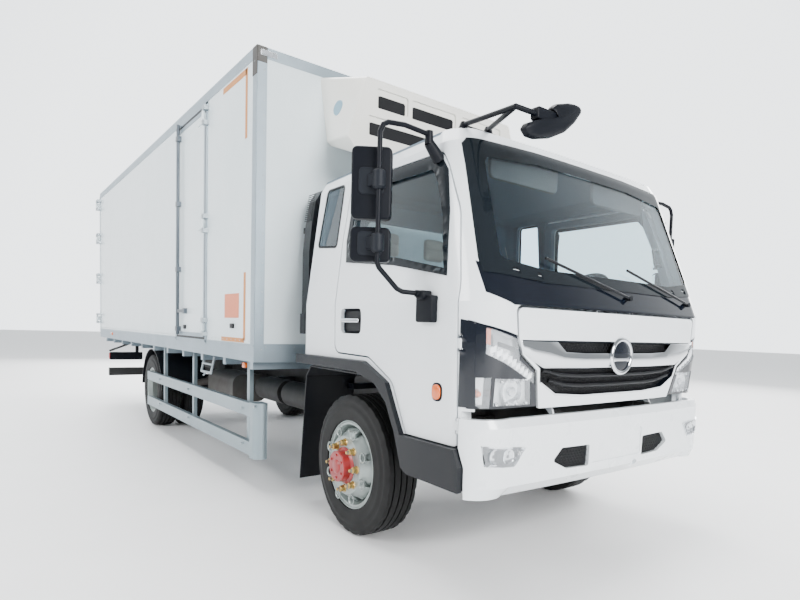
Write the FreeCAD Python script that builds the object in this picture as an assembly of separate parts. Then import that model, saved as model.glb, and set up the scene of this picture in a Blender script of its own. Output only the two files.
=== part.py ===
import FreeCAD, Part
import math
import os

V = FreeCAD.Vector

# ------------------------------------------------------------------ driving dimensions, in mm
# x runs forward from the front axle, y to the left, z up from the ground
WHEELBASE = 4500
FRONT_TRACK = 1755
REAR_TRACK = 1655                # between the middles of the twin wheels
TWIN_SPACING = 270               # between the two tyres of a twin wheel

DISC_OFFSET = TWIN_SPACING / 2   # from the rim's middle to the disc's mounting face

TYRE_RADIUS = 419
TYRE_WIDTH = 225
RIM_RADIUS = 248                 # where the tyre's bead sits
RIM_FLANGE_RADIUS = 261
RIM_WIDTH = 190
RIM_FLANGE_T = 10
RIM_WALL = 9
STUD_CIRCLE_RADIUS = 137.5
STUD_COUNT = 8
HAND_HOLES = 8

BOX_FRONT_X = -960
BOX_LENGTH = 6200
BOX_WIDTH = 2400
BOX_BOTTOM_Z = 970
BOX_TOP_Z = 3116
BOX_WALL = 80
BOX_FLOOR = 126
REAR_DOOR_T = 70
REAR_FRAME_T = 60                # depth of the rear portal frame
REAR_FRAME_W = 70                # width of its posts

CAB_HALF_WIDTH = 1000
CAB_REAR_X = -620
CAB_NOSE_X = 1168
LEAN_Z = 1150                    # below this the cab's front draws back towards the bumper
FRONT_LEAN = 0.16                # by this much per mm
CAB_SKIN = 45
CAB_DOOR_T = 60
CAB_FLOOR_Z = 930
FIREWALL_X = 1000
CAB_DECK_Z = 1100                # the raised deck under the seats
CAB_DECK_FRONT_X = 480
CAB_BELT_Z = 1372
CAB_ROOF_Z = 2272
BUMPER_SIDE_X = 1008             # where the bumper's side ends, ahead of the door
ROOF_RISE = 0.033                # the roof climbs this much per mm towards the front
TILT_X = 1100                    # the cab tilts about this line
TILT_Z = 820

RAIL_Y = 375                     # middle of a frame rail's web
RAIL_TOP_Z = 860
RAIL_HEIGHT = 200
RAIL_FLANGE = 70
RAIL_T = 8
RAIL_FRONT_X = 1020

KINGPIN_Y = 775
KINGPIN_R = 18
AXLE_R = 42
RUNNING_FIT = 0.05               # radial clearance of a pin or shaft in its bore
SEAT_GAP = 0.3                   # a piece at rest on its seat
SHUT_GAP = 9                     # round a cab door
PANEL_GAP = 11                    # round the service flap in the cab's front
PANEL_T = 12
REBATE = 20                      # how much wider a door opening is behind its lip
DOOR_LIP = 10                    # thickness of the skin's lip round a door or the flap
BOX_DOOR_GAP = 14
GLASS_T = 6

# ------------------------------------------------------------------ worked out from them
BOX_REAR_X = BOX_FRONT_X - BOX_LENGTH
HALF_BOX = BOX_WIDTH / 2
FLOOR_TOP_Z = BOX_BOTTOM_Z + BOX_FLOOR
ROOF_UNDER_Z = BOX_TOP_Z - BOX_WALL
RAIL_REAR_X = BOX_REAR_X + 120
RAIL_BOTTOM_Z = RAIL_TOP_Z - RAIL_HEIGHT
HINGE_OUT = 30                   # a box hinge pin stands this far off its panel
REAR_PIN_X = BOX_REAR_X - REAR_DOOR_T - HINGE_OUT
LOCK_DEPTH = 40                  # the rear lock rods' guides stand this far behind the doors
HINGE_EYE_R = 13
HINGE_PIN_R = 8
BLIND_SPOT_FRONT_X = CAB_NOSE_X + 82
CENTRE_X = (BLIND_SPOT_FRONT_X + REAR_PIN_X - HINGE_EYE_R) / 2
REAR_AXLE_X = -WHEELBASE
AXLE_Z = TYRE_RADIUS


# ------------------------------------------------------------------ shape helpers
def at(axis, across, up, along):
    """The point that an outline's two numbers give on a plane across the axis."""
    if axis == "x":
        return V(along, across, up)
    if axis == "y":
        return V(across, along, up)
    return V(across, up, along)


def outline(points, radius, axis, along):
    """A closed wire through the points, with each corner rounded."""
    radii = radius if isinstance(radius, (list, tuple)) else [radius] * len(points)
    corners = [at(axis, p[0], p[1], along) for p in points]
    edges = []
    ends = []
    for i, corner in enumerate(corners):
        back = (corners[i - 1] - corner).normalize()
        ahead = (corners[(i + 1) % len(corners)] - corner).normalize()
        if radii[i] <= 0:
            ends.append((corner, None, corner))
            continue
        half = back.getAngle(ahead) / 2
        reach = radii[i] / math.tan(half)
        middle = (back + ahead).normalize()
        top = corner + middle * (radii[i] / math.sin(half) - radii[i])
        ends.append((corner + back * reach, top, corner + ahead * reach))
    for i, (start, top, stop) in enumerate(ends):
        if top is not None:
            edges.append(Part.Arc(start, top, stop).toShape())
        following = ends[(i + 1) % len(ends)][0]
        if stop.distanceToPoint(following) > 1e-6:
            edges.append(Part.LineSegment(stop, following).toShape())
    return Part.Wire(edges)


def prism(points, axis, start, stop, radius=0):
    """An outline pushed along the axis from start to stop."""
    face = Part.Face(outline(points, radius, axis, start))
    return face.extrude(at(axis, 0, 0, stop - start))


def box(x0, x1, y0, y1, z0, z1):
    return Part.makeBox(x1 - x0, y1 - y0, z1 - z0, V(x0, y0, z0))


def rod(start, stop, radius):
    return Part.makeCylinder(radius, (stop - start).Length, start, stop - start)


def turned(profile, centre, axis_y=1):
    """A profile of (offset along y, radius) pairs turned about the y direction."""
    points = [V(centre.x, centre.y + axis_y * p[0], centre.z + p[1]) for p in profile]
    return Part.Face(Part.makePolygon(points + points[:1])).revolve(centre, V(0, 1, 0), 360)


def bent_rod(points, radius, bend):
    """A round bar or tube along straight runs joined by tangent arcs."""
    edges = []
    start = points[0]
    for i in range(1, len(points) - 1):
        back = (points[i - 1] - points[i]).normalize()
        ahead = (points[i + 1] - points[i]).normalize()
        half = back.getAngle(ahead) / 2
        reach = bend / math.tan(half)
        top = points[i] + (back + ahead).normalize() * (bend / math.sin(half) - bend)
        edges.append(Part.LineSegment(start, points[i] + back * reach).toShape())
        edges.append(Part.Arc(points[i] + back * reach, top, points[i] + ahead * reach).toShape())
        start = points[i] + ahead * reach
    edges.append(Part.LineSegment(start, points[-1]).toShape())
    ring = Part.Wire(Part.makeCircle(radius, points[0], points[1] - points[0]))
    return Part.Wire(edges).makePipeShell([ring], True, False)


def mirrored(shape):
    return shape.mirror(V(0, 0, 0), V(0, 1, 0))


def both_sides(shape):
    return Part.makeCompound([shape, mirrored(shape)])


def fused(shapes):
    return shapes[0].multiFuse(shapes[1:]).removeSplitter()


def group(shapes):
    return Part.makeCompound(shapes)


# ------------------------------------------------------------------ wheels
def steel_wheel(x, y, out):
    """A disc wheel: a rolled rim and a dished disc with hand holes; out is +1 when its
    mounting face looks to the left."""
    centre = V(x, y, AXLE_Z)
    half = RIM_WIDTH / 2
    rim = turned([(-half, RIM_FLANGE_RADIUS), (-half, RIM_RADIUS - RIM_WALL),
                  (-half + 45, RIM_RADIUS - RIM_WALL - 22), (half - 45, RIM_RADIUS - RIM_WALL - 22),
                  (half, RIM_RADIUS - RIM_WALL), (half, RIM_FLANGE_RADIUS),
                  (half - RIM_FLANGE_T, RIM_FLANGE_RADIUS), (half - RIM_FLANGE_T, RIM_RADIUS),
                  (half - 45, RIM_RADIUS - 22), (-half + 45, RIM_RADIUS - 22),
                  (-half + RIM_FLANGE_T, RIM_RADIUS), (-half + RIM_FLANGE_T, RIM_FLANGE_RADIUS)], centre)
    seat = RIM_RADIUS - RIM_WALL - 22
    face = DISC_OFFSET
    disc = turned([(out * (half - 60), seat), (out * (half - 20), seat), (out * (face - 20), 188),
                   (out * face, 172), (out * face, HUB_R), (out * (face - DISC_T), HUB_R),
                    (out * (face - DISC_T), 168),
                   (out * (half - 42), seat - 14)], centre)
    holes = []
    for i in range(HAND_HOLES):
        angle = 2 * math.pi * (i + 0.5) / HAND_HOLES
        spot = centre + V(205 * math.cos(angle), 0, 205 * math.sin(angle))
        holes.append(rod(spot - V(0, 200, 0), spot + V(0, 200, 0), 21))
    for i in range(STUD_COUNT):
        angle = 2 * math.pi * i / STUD_COUNT
        spot = centre + V(STUD_CIRCLE_RADIUS * math.cos(angle), 0, STUD_CIRCLE_RADIUS * math.sin(angle))
        holes.append(rod(spot - V(0, 200, 0), spot + V(0, 200, 0), 12))
    return rim.fuse(disc.cut(Part.makeCompound(holes))).removeSplitter()


def tyre(x, y):
    """A plain tyre: beads inside the rim's flanges, round side walls and a flat tread."""
    bead = RIM_WIDTH / 2 - RIM_FLANGE_T - SEAT_GAP
    half = TYRE_WIDTH / 2
    foot = RIM_RADIUS + SEAT_GAP
    # offset from the middle, radius
    left = [(bead, foot), (bead, RIM_FLANGE_RADIUS + 1), (half - 10, 279), (half - 3, 305), (half, 330),
            (half - 2, 362), (half - 9, 392), (half - 18, TYRE_RADIUS - 10), (half - 32, TYRE_RADIUS)]
    return turned(left + [(-p[0], p[1]) for p in reversed(left)], V(x, y, AXLE_Z))


HUB_R = 110                      # the spigot that centres a wheel
DISC_T = 12
DRUM_R = 195
STUB_R = 34                      # the bearing journal of a steered hub


def hub(x, face, out, reach, bore):
    """A hub with its studs and brake drum; face is where the wheel is bolted on and out points
    away from the truck."""
    centre = V(x, face, AXLE_Z)
    profile = [(55, bore), (55, 52), (30, 70), (2, 88), (2, HUB_R), (-DISC_T, HUB_R), (-DISC_T, 165),
               (-DISC_T - 14, 165), (-DISC_T - 55, DRUM_R), (-reach, DRUM_R), (-reach, DRUM_R - 14),
               (-DISC_T - 65, DRUM_R - 14), (-DISC_T - 30, 120), (-DISC_T - 60, 70), (-reach + 10, 70),
               (-reach + 10, bore)]
    studs = []
    for i in range(STUD_COUNT):
        angle = 2 * math.pi * i / STUD_COUNT
        spot = centre + V(STUD_CIRCLE_RADIUS * math.cos(angle), -out * (DISC_T + 5),
                          STUD_CIRCLE_RADIUS * math.sin(angle))
        studs.append(rod(spot, spot + V(0, out * 62, 0), 10))
    return turned([(out * p[0], p[1]) for p in profile], centre).multiFuse(studs)


def front_wheel(side):
    """The steered wheel with its hub, and its tyre; side is +1 on the left."""
    y = side * FRONT_TRACK / 2
    face = y + side * DISC_OFFSET
    wheel = fused([steel_wheel(0, y, side), hub(0, face, side, 165, STUB_R + RUNNING_FIT)])
    return wheel, tyre(0, y)


def rear_wheels(side):
    """A twin wheel: two disc wheels bolted back to back on one hub, and their tyres."""
    outer = side * (REAR_TRACK + TWIN_SPACING) / 2
    inner = outer - side * TWIN_SPACING
    middle = (outer + inner) / 2
    wheels = fused([steel_wheel(REAR_AXLE_X, outer, -side), steel_wheel(REAR_AXLE_X, inner, side),
                    hub(REAR_AXLE_X, middle, side, 190, AXLE_R + RUNNING_FIT)])
    return wheels, group([tyre(REAR_AXLE_X, outer), tyre(REAR_AXLE_X, inner)])


def knuckle(side):
    """The steering knuckle: a fork round the axle beam's eye, a stub axle and a steering arm."""
    y = side * KINGPIN_Y
    journal_end = side * (FRONT_TRACK / 2 + DISC_OFFSET + 50)
    plate = box(-60, 60, min(y + side * 34, y + side * 56), max(y + side * 34, y + side * 56),
                AXLE_Z - 95, AXLE_Z + 95)
    ears = []
    for z0 in (AXLE_Z - 95, AXLE_Z + 55):
        ear = Part.makeCylinder(34, 40, V(0, y, z0))
        web = box(-34, 34, min(y, y + side * 40), max(y, y + side * 40), z0, z0 + 40)
        ears.append(ear.fuse(web))
    pin = Part.makeCylinder(KINGPIN_R, 190, V(0, y, AXLE_Z - 95))
    stub = rod(V(0, y + side * 40, AXLE_Z), V(0, journal_end, AXLE_Z), STUB_R)
    arm = prism([(-20, y - side * 20), (20, y - side * 20), (20, y + side * 50), (-20, y + side * 50)],
                "z", AXLE_Z - 95, AXLE_Z - 75)
    lever = box(-230, -20, min(y - side * 60, y - side * 20), max(y - side * 60, y - side * 20),
                AXLE_Z - 95, AXLE_Z - 75)
    reach = box(-60, 20, min(y - side * 60, y), max(y - side * 60, y), AXLE_Z - 95, AXLE_Z - 75)
    return fused([plate, pin, stub, arm, lever, reach] + ears)


# ------------------------------------------------------------------ axles and springs
SPRING_Y = 430
SPRING_W = 70
SPRING_RISE = 95                 # from the middle of a leaf to its end


def front_axle_beam():
    """A forged I-beam that drops between the springs, with an eye for each kingpin."""
    beam = prism([(-KINGPIN_Y + 20, AXLE_Z + 25), (-KINGPIN_Y + 20, AXLE_Z - 30), (-640, AXLE_Z - 40),
                  (-520, AXLE_Z - 110), (520, AXLE_Z - 110), (640, AXLE_Z - 40), (KINGPIN_Y - 20, AXLE_Z - 30),
                  (KINGPIN_Y - 20, AXLE_Z + 25), (640, AXLE_Z + 35), (500, AXLE_Z - 30),
                  (-500, AXLE_Z - 30), (-640, AXLE_Z + 35)], "x", -40, 40)
    eyes = [Part.makeCylinder(34, 100, V(0, s * KINGPIN_Y, AXLE_Z - 50)) for s in (1, -1)]
    bores = [Part.makeCylinder(KINGPIN_R + RUNNING_FIT, 120, V(0, s * KINGPIN_Y, AXLE_Z - 60))
             for s in (1, -1)]
    return fused([beam] + eyes).cut(Part.makeCompound(bores))


def rear_axle():
    """The driven axle: a banjo casing, its final drive and two round ends."""
    end = REAR_TRACK / 2 + 50
    tube = rod(V(REAR_AXLE_X, -end, AXLE_Z), V(REAR_AXLE_X, end, AXLE_Z), AXLE_R)
    sleeve_end = REAR_TRACK / 2 - 190 - 25
    sleeve = rod(V(REAR_AXLE_X, -sleeve_end, AXLE_Z), V(REAR_AXLE_X, sleeve_end, AXLE_Z), 62)
    banjo = Part.makeCylinder(185, 130, V(REAR_AXLE_X - 65, 0, AXLE_Z), V(1, 0, 0))
    nose = Part.makeCone(130, 65, 230, V(REAR_AXLE_X + 65, 0, AXLE_Z), V(1, 0, 0))
    return fused([tube, sleeve, banjo, nose])


# axle x, half length ahead, half length behind, height of the pack's seat, leaves
SPRINGS = (
    (0, 560, 640, AXLE_Z - 30, 4),
    (REAR_AXLE_X, 700, 700, AXLE_Z + 62, 6),
)


def leaf_springs():
    """Stacked curved leaves on each side of both axles."""
    packs = []
    for axle_x, ahead, behind, seat, leaves in SPRINGS:
        leaf_t = 14
        pack = []
        for i in range(leaves):
            share = 1 - 0.62 * (leaves - 1 - i) / leaves
            front = axle_x + ahead * share
            rear = axle_x - behind * share
            rise = SPRING_RISE * share * share
            low = seat + leaf_t * i
            top = [V(rear, 0, low + rise), V(axle_x, 0, low), V(front, 0, low + rise)]
            edges = [Part.Arc(top[0], top[1], top[2]).toShape()]
            edges.append(Part.LineSegment(top[2], top[2] + V(0, 0, leaf_t)).toShape())
            edges.append(Part.Arc(*[p + V(0, 0, leaf_t) for p in reversed(top)]).toShape())
            edges.append(Part.LineSegment(top[0] + V(0, 0, leaf_t), top[0]).toShape())
            leaf = Part.Face(Part.Wire(edges)).extrude(V(0, SPRING_W, 0))
            leaf.translate(V(0, SPRING_Y - SPRING_W / 2, 0))
            pack.append(leaf)
        top_z = seat + leaf_t * leaves
        for end_x in (axle_x + ahead, axle_x - behind):
            hanger = box(end_x - 40, end_x + 40, SPRING_Y - SPRING_W / 2, SPRING_Y + SPRING_W / 2,
                         top_z + SPRING_RISE - 40, RAIL_BOTTOM_Z + 20)
            hanger = hanger.fuse(box(end_x - 40, end_x + 40, RAIL_Y + RAIL_T / 2, SPRING_Y + SPRING_W / 2,
                                     RAIL_BOTTOM_Z, RAIL_BOTTOM_Z + 90))
            pack.append(hanger.cut(frame_rail(1)))
        bolt = box(axle_x - 60, axle_x + 60, SPRING_Y - SPRING_W / 2 - 6, SPRING_Y + SPRING_W / 2 + 6,
                   top_z - 2, top_z + 24)
        pack.append(bolt)
        packs.append(fused(pack))
    return group([s for pack in packs for s in (pack, mirrored(pack))])


SHAFT_Z = 605                    # where the gearbox hands over to the propshaft


def propshaft():
    """Two tubes with joints between the gearbox and the rear axle's nose, with a centre bearing."""
    start = V(GEARBOX_REAR_X - 60, 0, SHAFT_Z)
    middle = V(-2450, 0, 540)
    end = V(REAR_AXLE_X + 350, 0, AXLE_Z)
    flanges = [rod(start + V(60 - SEAT_GAP, 0, 0), start, 55), rod(end, end - V(55 - SEAT_GAP, 0, 0), 55)]
    joints = [Part.makeSphere(55, p) for p in (start, middle, end)]
    return fused([rod(start, middle, 40), rod(middle, end, 40)] + flanges + joints)


# ------------------------------------------------------------------ chassis
def frame_rail(side):
    """One pressed channel, open towards the middle."""
    channel = prism([(RAIL_Y + RAIL_T / 2, RAIL_BOTTOM_Z), (RAIL_Y + RAIL_T / 2, RAIL_TOP_Z),
                     (RAIL_Y - RAIL_FLANGE, RAIL_TOP_Z), (RAIL_Y - RAIL_FLANGE, RAIL_TOP_Z - RAIL_T),
                     (RAIL_Y - RAIL_T / 2, RAIL_TOP_Z - RAIL_T), (RAIL_Y - RAIL_T / 2, RAIL_BOTTOM_Z + RAIL_T),
                     (RAIL_Y - RAIL_FLANGE, RAIL_BOTTOM_Z + RAIL_T), (RAIL_Y - RAIL_FLANGE, RAIL_BOTTOM_Z)],
                    "x", RAIL_REAR_X, RAIL_FRONT_X)
    return channel if side > 0 else mirrored(channel)


COUPLING_Y = 160                 # the drawbar coupling's four holes in the last crossmember
COUPLING_Z = 100
COUPLING_HOLE_R = 10.5
COUPLING_MID_Z = RAIL_TOP_Z - RAIL_HEIGHT / 2

# place of each crossmember along the frame
CROSSMEMBERS = (RAIL_REAR_X + 40, -5600, -3600, -2500, -1250, 900)


def frame_crossmembers():
    members = []
    reach = RAIL_Y - RAIL_T / 2
    for x in CROSSMEMBERS:
        members.append(prism([(x - 35, RAIL_BOTTOM_Z + RAIL_T), (x + 35, RAIL_BOTTOM_Z + RAIL_T),
                              (x + 35, RAIL_TOP_Z - RAIL_T), (x + 25, RAIL_TOP_Z - RAIL_T),
                              (x + 25, RAIL_BOTTOM_Z + RAIL_T + 10), (x - 25, RAIL_BOTTOM_Z + RAIL_T + 10),
                              (x - 25, RAIL_TOP_Z - RAIL_T), (x - 35, RAIL_TOP_Z - RAIL_T)],
                             "y", -reach, reach))
    holes = []
    for y in (-COUPLING_Y / 2, COUPLING_Y / 2):
        for z in (COUPLING_MID_Z - COUPLING_Z / 2, COUPLING_MID_Z + COUPLING_Z / 2):
            holes.append(rod(V(RAIL_REAR_X, y, z), V(RAIL_REAR_X + 90, y, z), COUPLING_HOLE_R))
    members[0] = members[0].cut(group(holes))
    return group(members)


GEARBOX_REAR_X = -1100


def engine_block():
    """The engine, flywheel housing and gearbox as one plain mass."""
    return prism([(200, 470), (200, 1000), (-480, 1000), (-480, 800), (GEARBOX_REAR_X, 720),
                  (GEARBOX_REAR_X, 490), (-480, 470)], "y", -270, 270)


TILT_ARM_Y = RAIL_Y + RAIL_T / 2 + 60
TILT_PIN_R = 8
TILT_EYE_R = 15


def tilt_eyes():
    """The two plates under the cab's fire wall whose eyes turn on the tilt pins."""
    eyes = []
    for side in (1, -1):
        y0, y1 = sorted((side * (TILT_ARM_Y + 1), side * (TILT_ARM_Y + 13)))
        plate = prism([(TILT_X - 12, TILT_Z - 9), (TILT_X - 11, TILT_Z + 18),
                       (FIREWALL_X + CAB_SKIN, CAB_FLOOR_Z - 5),
                       (FIREWALL_X + 2, CAB_FLOOR_Z - 5), (FIREWALL_X + 2, CAB_FLOOR_Z - 40)], "y", y0, y1)
        eye = rod(V(TILT_X, y0, TILT_Z), V(TILT_X, y1, TILT_Z), TILT_EYE_R)
        bore = rod(V(TILT_X, y0 - 5, TILT_Z), V(TILT_X, y1 + 5, TILT_Z), TILT_PIN_R + RUNNING_FIT)
        eyes.append(plate.fuse(eye).cut(bore))
    return eyes


def cab_mounts():
    """Two front tilt brackets on the rails and the rear arch that the cab's deck rests on."""
    brackets = []
    for side in (1, -1):
        y0, y1 = sorted((side * (RAIL_Y + RAIL_T / 2), side * TILT_ARM_Y))
        arm = prism([(930, RAIL_BOTTOM_Z + 20), (930, RAIL_TOP_Z - 20), (1010, RAIL_TOP_Z - 10),
                     (TILT_X - 40, TILT_Z + 24), (TILT_X - 12, TILT_Z + 24), (TILT_X + 4, TILT_Z + 8),
                     (TILT_X + 4, TILT_Z - 30), (1050, RAIL_BOTTOM_Z + 20)], "y", y0, y1)
        pin = rod(V(TILT_X, side * (TILT_ARM_Y - 30), TILT_Z), V(TILT_X, side * (TILT_ARM_Y + 15), TILT_Z),
                  TILT_PIN_R)
        brackets.append(arm.fuse(pin))
    legs = [box(-560, -480, min(s * 300, s * RAIL_Y + s * 20), max(s * 300, s * RAIL_Y + s * 20),
                RAIL_TOP_Z, 1000) for s in (1, -1)]
    beam = box(-560, -480, -RAIL_Y - 20, RAIL_Y + 20, 1000, 1050 - SEAT_GAP)
    return group([brackets[0], brackets[1], fused(legs + [beam])])


def fuel_tank():
    """An aluminium tank on the left rail."""
    tank = prism([(RAIL_Y + 30, 380), (RAIL_Y + 560, 380), (RAIL_Y + 560, 800), (RAIL_Y + 30, 800)],
                 "x", -2700, -1700, 50)
    shelf = [box(x - 25, x + 25, RAIL_Y + RAIL_T / 2, RAIL_Y + 60, 700, 780) for x in (-1900, -2500)]
    return fused([tank] + shelf)


def air_tanks():
    """Two brake reservoirs side by side on the right rail."""
    tanks = []
    for x in (-2350, -1750):
        tank = Part.makeCylinder(110, 520, V(x, -RAIL_Y - 170, 640), V(1, 0, 0))
        bracket = box(x + 220, x + 280, -RAIL_Y - 170, -RAIL_Y - RAIL_T / 2, 700, 760)
        tanks.append(tank.fuse(bracket))
    return group(tanks)


def exhaust_silencer():
    body = prism([(-RAIL_Y - 60, 470), (-RAIL_Y - 400, 470), (-RAIL_Y - 400, 740), (-RAIL_Y - 60, 740)],
                 "x", -3350, -2600, 90)
    bracket = [box(x - 20, x + 20, -RAIL_Y - 120, -RAIL_Y - RAIL_T / 2, 690, 730) for x in (-3200, -2750)]
    tail = bent_rod([V(-3340, -RAIL_Y - 230, 600), V(-3650, -RAIL_Y - 230, 600),
                     V(-3700, -RAIL_Y - 420, 560)], 38, 60)
    return fused([body, tail] + bracket)


# ------------------------------------------------------------------ plan curves of the cab and bumper
CHEEK_Y = 800                    # where the front's shallow curve meets the corner
CHEEK_DROP = 23                  # how far that point lies behind the nose
CORNER_DROP = 217                # from there back to where the side runs straight
REAR_CORNER = 60


def plan_section(z, nose, half, rear, rise=0.0, cheek=CHEEK_Y, corner=CORNER_DROP):
    """One closed section of the cab: a shallow front curve, two round corners, straight sides
    and a flat back."""
    def point(x, y):
        return V(x, y, z + rise * (x - CAB_NOSE_X))
    brow = nose - CHEEK_DROP
    side = brow - corner
    span = half - cheek
    radius = (corner * corner + span * span) / (2 * span)
    turn = math.atan2(corner, cheek - (half - radius)) / 2
    bulge_x = side + radius * math.sin(turn)
    bulge_y = half - radius + radius * math.cos(turn)
    back = REAR_CORNER * (1 - math.sqrt(0.5))
    left = [point(brow, cheek), point(bulge_x, bulge_y), point(side, half),
            point(rear + REAR_CORNER, half), point(rear + back, half - back), point(rear, half - REAR_CORNER)]
    right = [V(p.x, -p.y, p.z) for p in left]
    edges = [Part.Arc(right[0], point(nose, 0), left[0]).toShape(),
             Part.Arc(left[0], left[1], left[2]).toShape(),
             Part.LineSegment(left[2], left[3]).toShape(),
             Part.Arc(left[3], left[4], left[5]).toShape(),
             Part.LineSegment(left[5], right[5]).toShape(),
             Part.Arc(right[5], right[4], right[3]).toShape(),
             Part.LineSegment(right[3], right[2]).toShape(),
             Part.Arc(right[2], right[1], right[0]).toShape()]
    return Part.Wire(edges)


HEADER_Z = 2175                  # where the windscreen ends and the roof starts to turn in
HEADER_BACK = 310                # how far the windscreen leans back by then

LOW_DROP = FRONT_LEAN * (LEAN_Z - 600)

# height, nose, half width, rear, roof rise, cheek's y, corner depth
CAB_SECTIONS = (
    (600, CAB_NOSE_X - LOW_DROP, CAB_HALF_WIDTH, CAB_REAR_X, 0.0, CHEEK_Y, CORNER_DROP - LOW_DROP),
    (LEAN_Z, CAB_NOSE_X, CAB_HALF_WIDTH, CAB_REAR_X, 0.0, CHEEK_Y, CORNER_DROP),
    (CAB_BELT_Z, CAB_NOSE_X, CAB_HALF_WIDTH, CAB_REAR_X, 0.0, CHEEK_Y, CORNER_DROP),
    (HEADER_Z, CAB_NOSE_X - HEADER_BACK, 905, CAB_REAR_X, ROOF_RISE, 770, 140),
    (2245, CAB_NOSE_X - HEADER_BACK - 40, 876, CAB_REAR_X + 20, ROOF_RISE, 745, 130),
    (CAB_ROOF_Z, CAB_NOSE_X - HEADER_BACK - 130, 800, CAB_REAR_X + 80, ROOF_RISE, 680, 110),
)


def cab_form(inset):
    """The cab's outer form, or the same drawn in by a wall's thickness."""
    wires = []
    for z, nose, half, rear, rise, cheek, corner in CAB_SECTIONS:
        low = z - (inset if z > HEADER_Z else 0)
        wires.append(plan_section(low, nose - inset, half - inset, rear + inset, rise, cheek - inset, corner))
    return Part.makeLoft(wires, True, True)


# cab openings; each is an outline of (across, up) points
DOOR_OUTLINE = ((979, 702), (958, 1450), (876, 1806), (765, 2035), (715, 2105), (-160, 2105), (-185, 1750),
                (-170, 1085), (215, 1078), (455, 960), (592, 702))
DOOR_RADII = (12, 300, 300, 80, 50, 50, 200, 60, 120, 120, 12)
DOOR_WINDOW = ((868, 1496), (790, 1806), (700, 2010), (655, 2062), (-95, 2062), (-120, 1750), (-95, 1640),
               (406, 1590))
DOOR_WINDOW_RADII = (25, 200, 60, 30, 40, 100, 50, 120)
QUARTER_WINDOW = ((-254, 1722), (-250, 2120), (-478, 2120), (-515, 1745))
REAR_WINDOW = ((-560, 1500), (560, 1500), (540, 1990), (-540, 1990))
WINDSCREEN = ((-868, 1540), (-560, 1508), (560, 1508), (868, 1540), (812, 2115), (400, 2150), (-400, 2150),
              (-812, 2115))
WINDSCREEN_RADII = (40, 300, 300, 40, 60, 300, 300, 60)
COWL = ((-930, 1556), (-868, 1536), (-560, 1504), (560, 1504), (868, 1536), (930, 1556), (925, 1415),
        (812, 1363), (-812, 1363), (-925, 1415))
FRONT_PANEL = ((-790, 1351), (790, 1351), (776, 1212), (748, 1136), (638, 1060), (588, 872), (-588, 872),
               (-638, 1060), (-748, 1136), (-776, 1212))
GRILLE_HOLE = ((-758, 1204), (758, 1204), (732, 1146), (622, 1068), (608, 1000), (490, 936), (280, 921),
               (-280, 921), (-490, 936), (-608, 1000), (-622, 1068), (-732, 1146))
PANEL_RADII = (30, 30, 0, 0, 0, 12, 12, 0, 0, 0)
HEADLAMP = ((1010, 1300), (946, 1270), (789, 1223), (787.8, 1209.3), (757.9, 1128.3), (648.5, 1052.6),
            (603.6, 884), (1010, 884))
WHEEL_ARCH = ((-760, 500), (-760, 1050), (190, 1050), (430, 950), (571, 690), (571, 500))
LAMP_DEPTH = 38                  # shallower than the skin, so that the lamp has a pan behind it
LAMP_REAR_X = 1018
LAMP_GAP = 2


def grown(points, by):
    """The outline moved out by a gap on every side."""
    count = len(points)
    area = sum(points[i - 1][0] * points[i][1] - points[i][0] * points[i - 1][1] for i in range(count))
    turn = 1 if area > 0 else -1
    moved = []
    for i in range(count):
        ax = points[i][0] - points[i - 1][0]
        ay = points[i][1] - points[i - 1][1]
        bx = points[(i + 1) % count][0] - points[i][0]
        by_ = points[(i + 1) % count][1] - points[i][1]
        la = math.hypot(ax, ay)
        lb = math.hypot(bx, by_)
        na = (turn * ay / la, -turn * ax / la)
        nb = (turn * by_ / lb, -turn * bx / lb)
        scale = by / (1 + na[0] * nb[0] + na[1] * nb[1])
        moved.append((points[i][0] + (na[0] + nb[0]) * scale, points[i][1] + (na[1] + nb[1]) * scale))
    return moved


def side_cut(points, radius, side, depth_from, depth_to):
    """A prism through one side of the cab, between two distances from the middle."""
    return prism(points, "y", *sorted((side * depth_from, side * depth_to)), radius)


OUTSIDE = 1300


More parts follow.
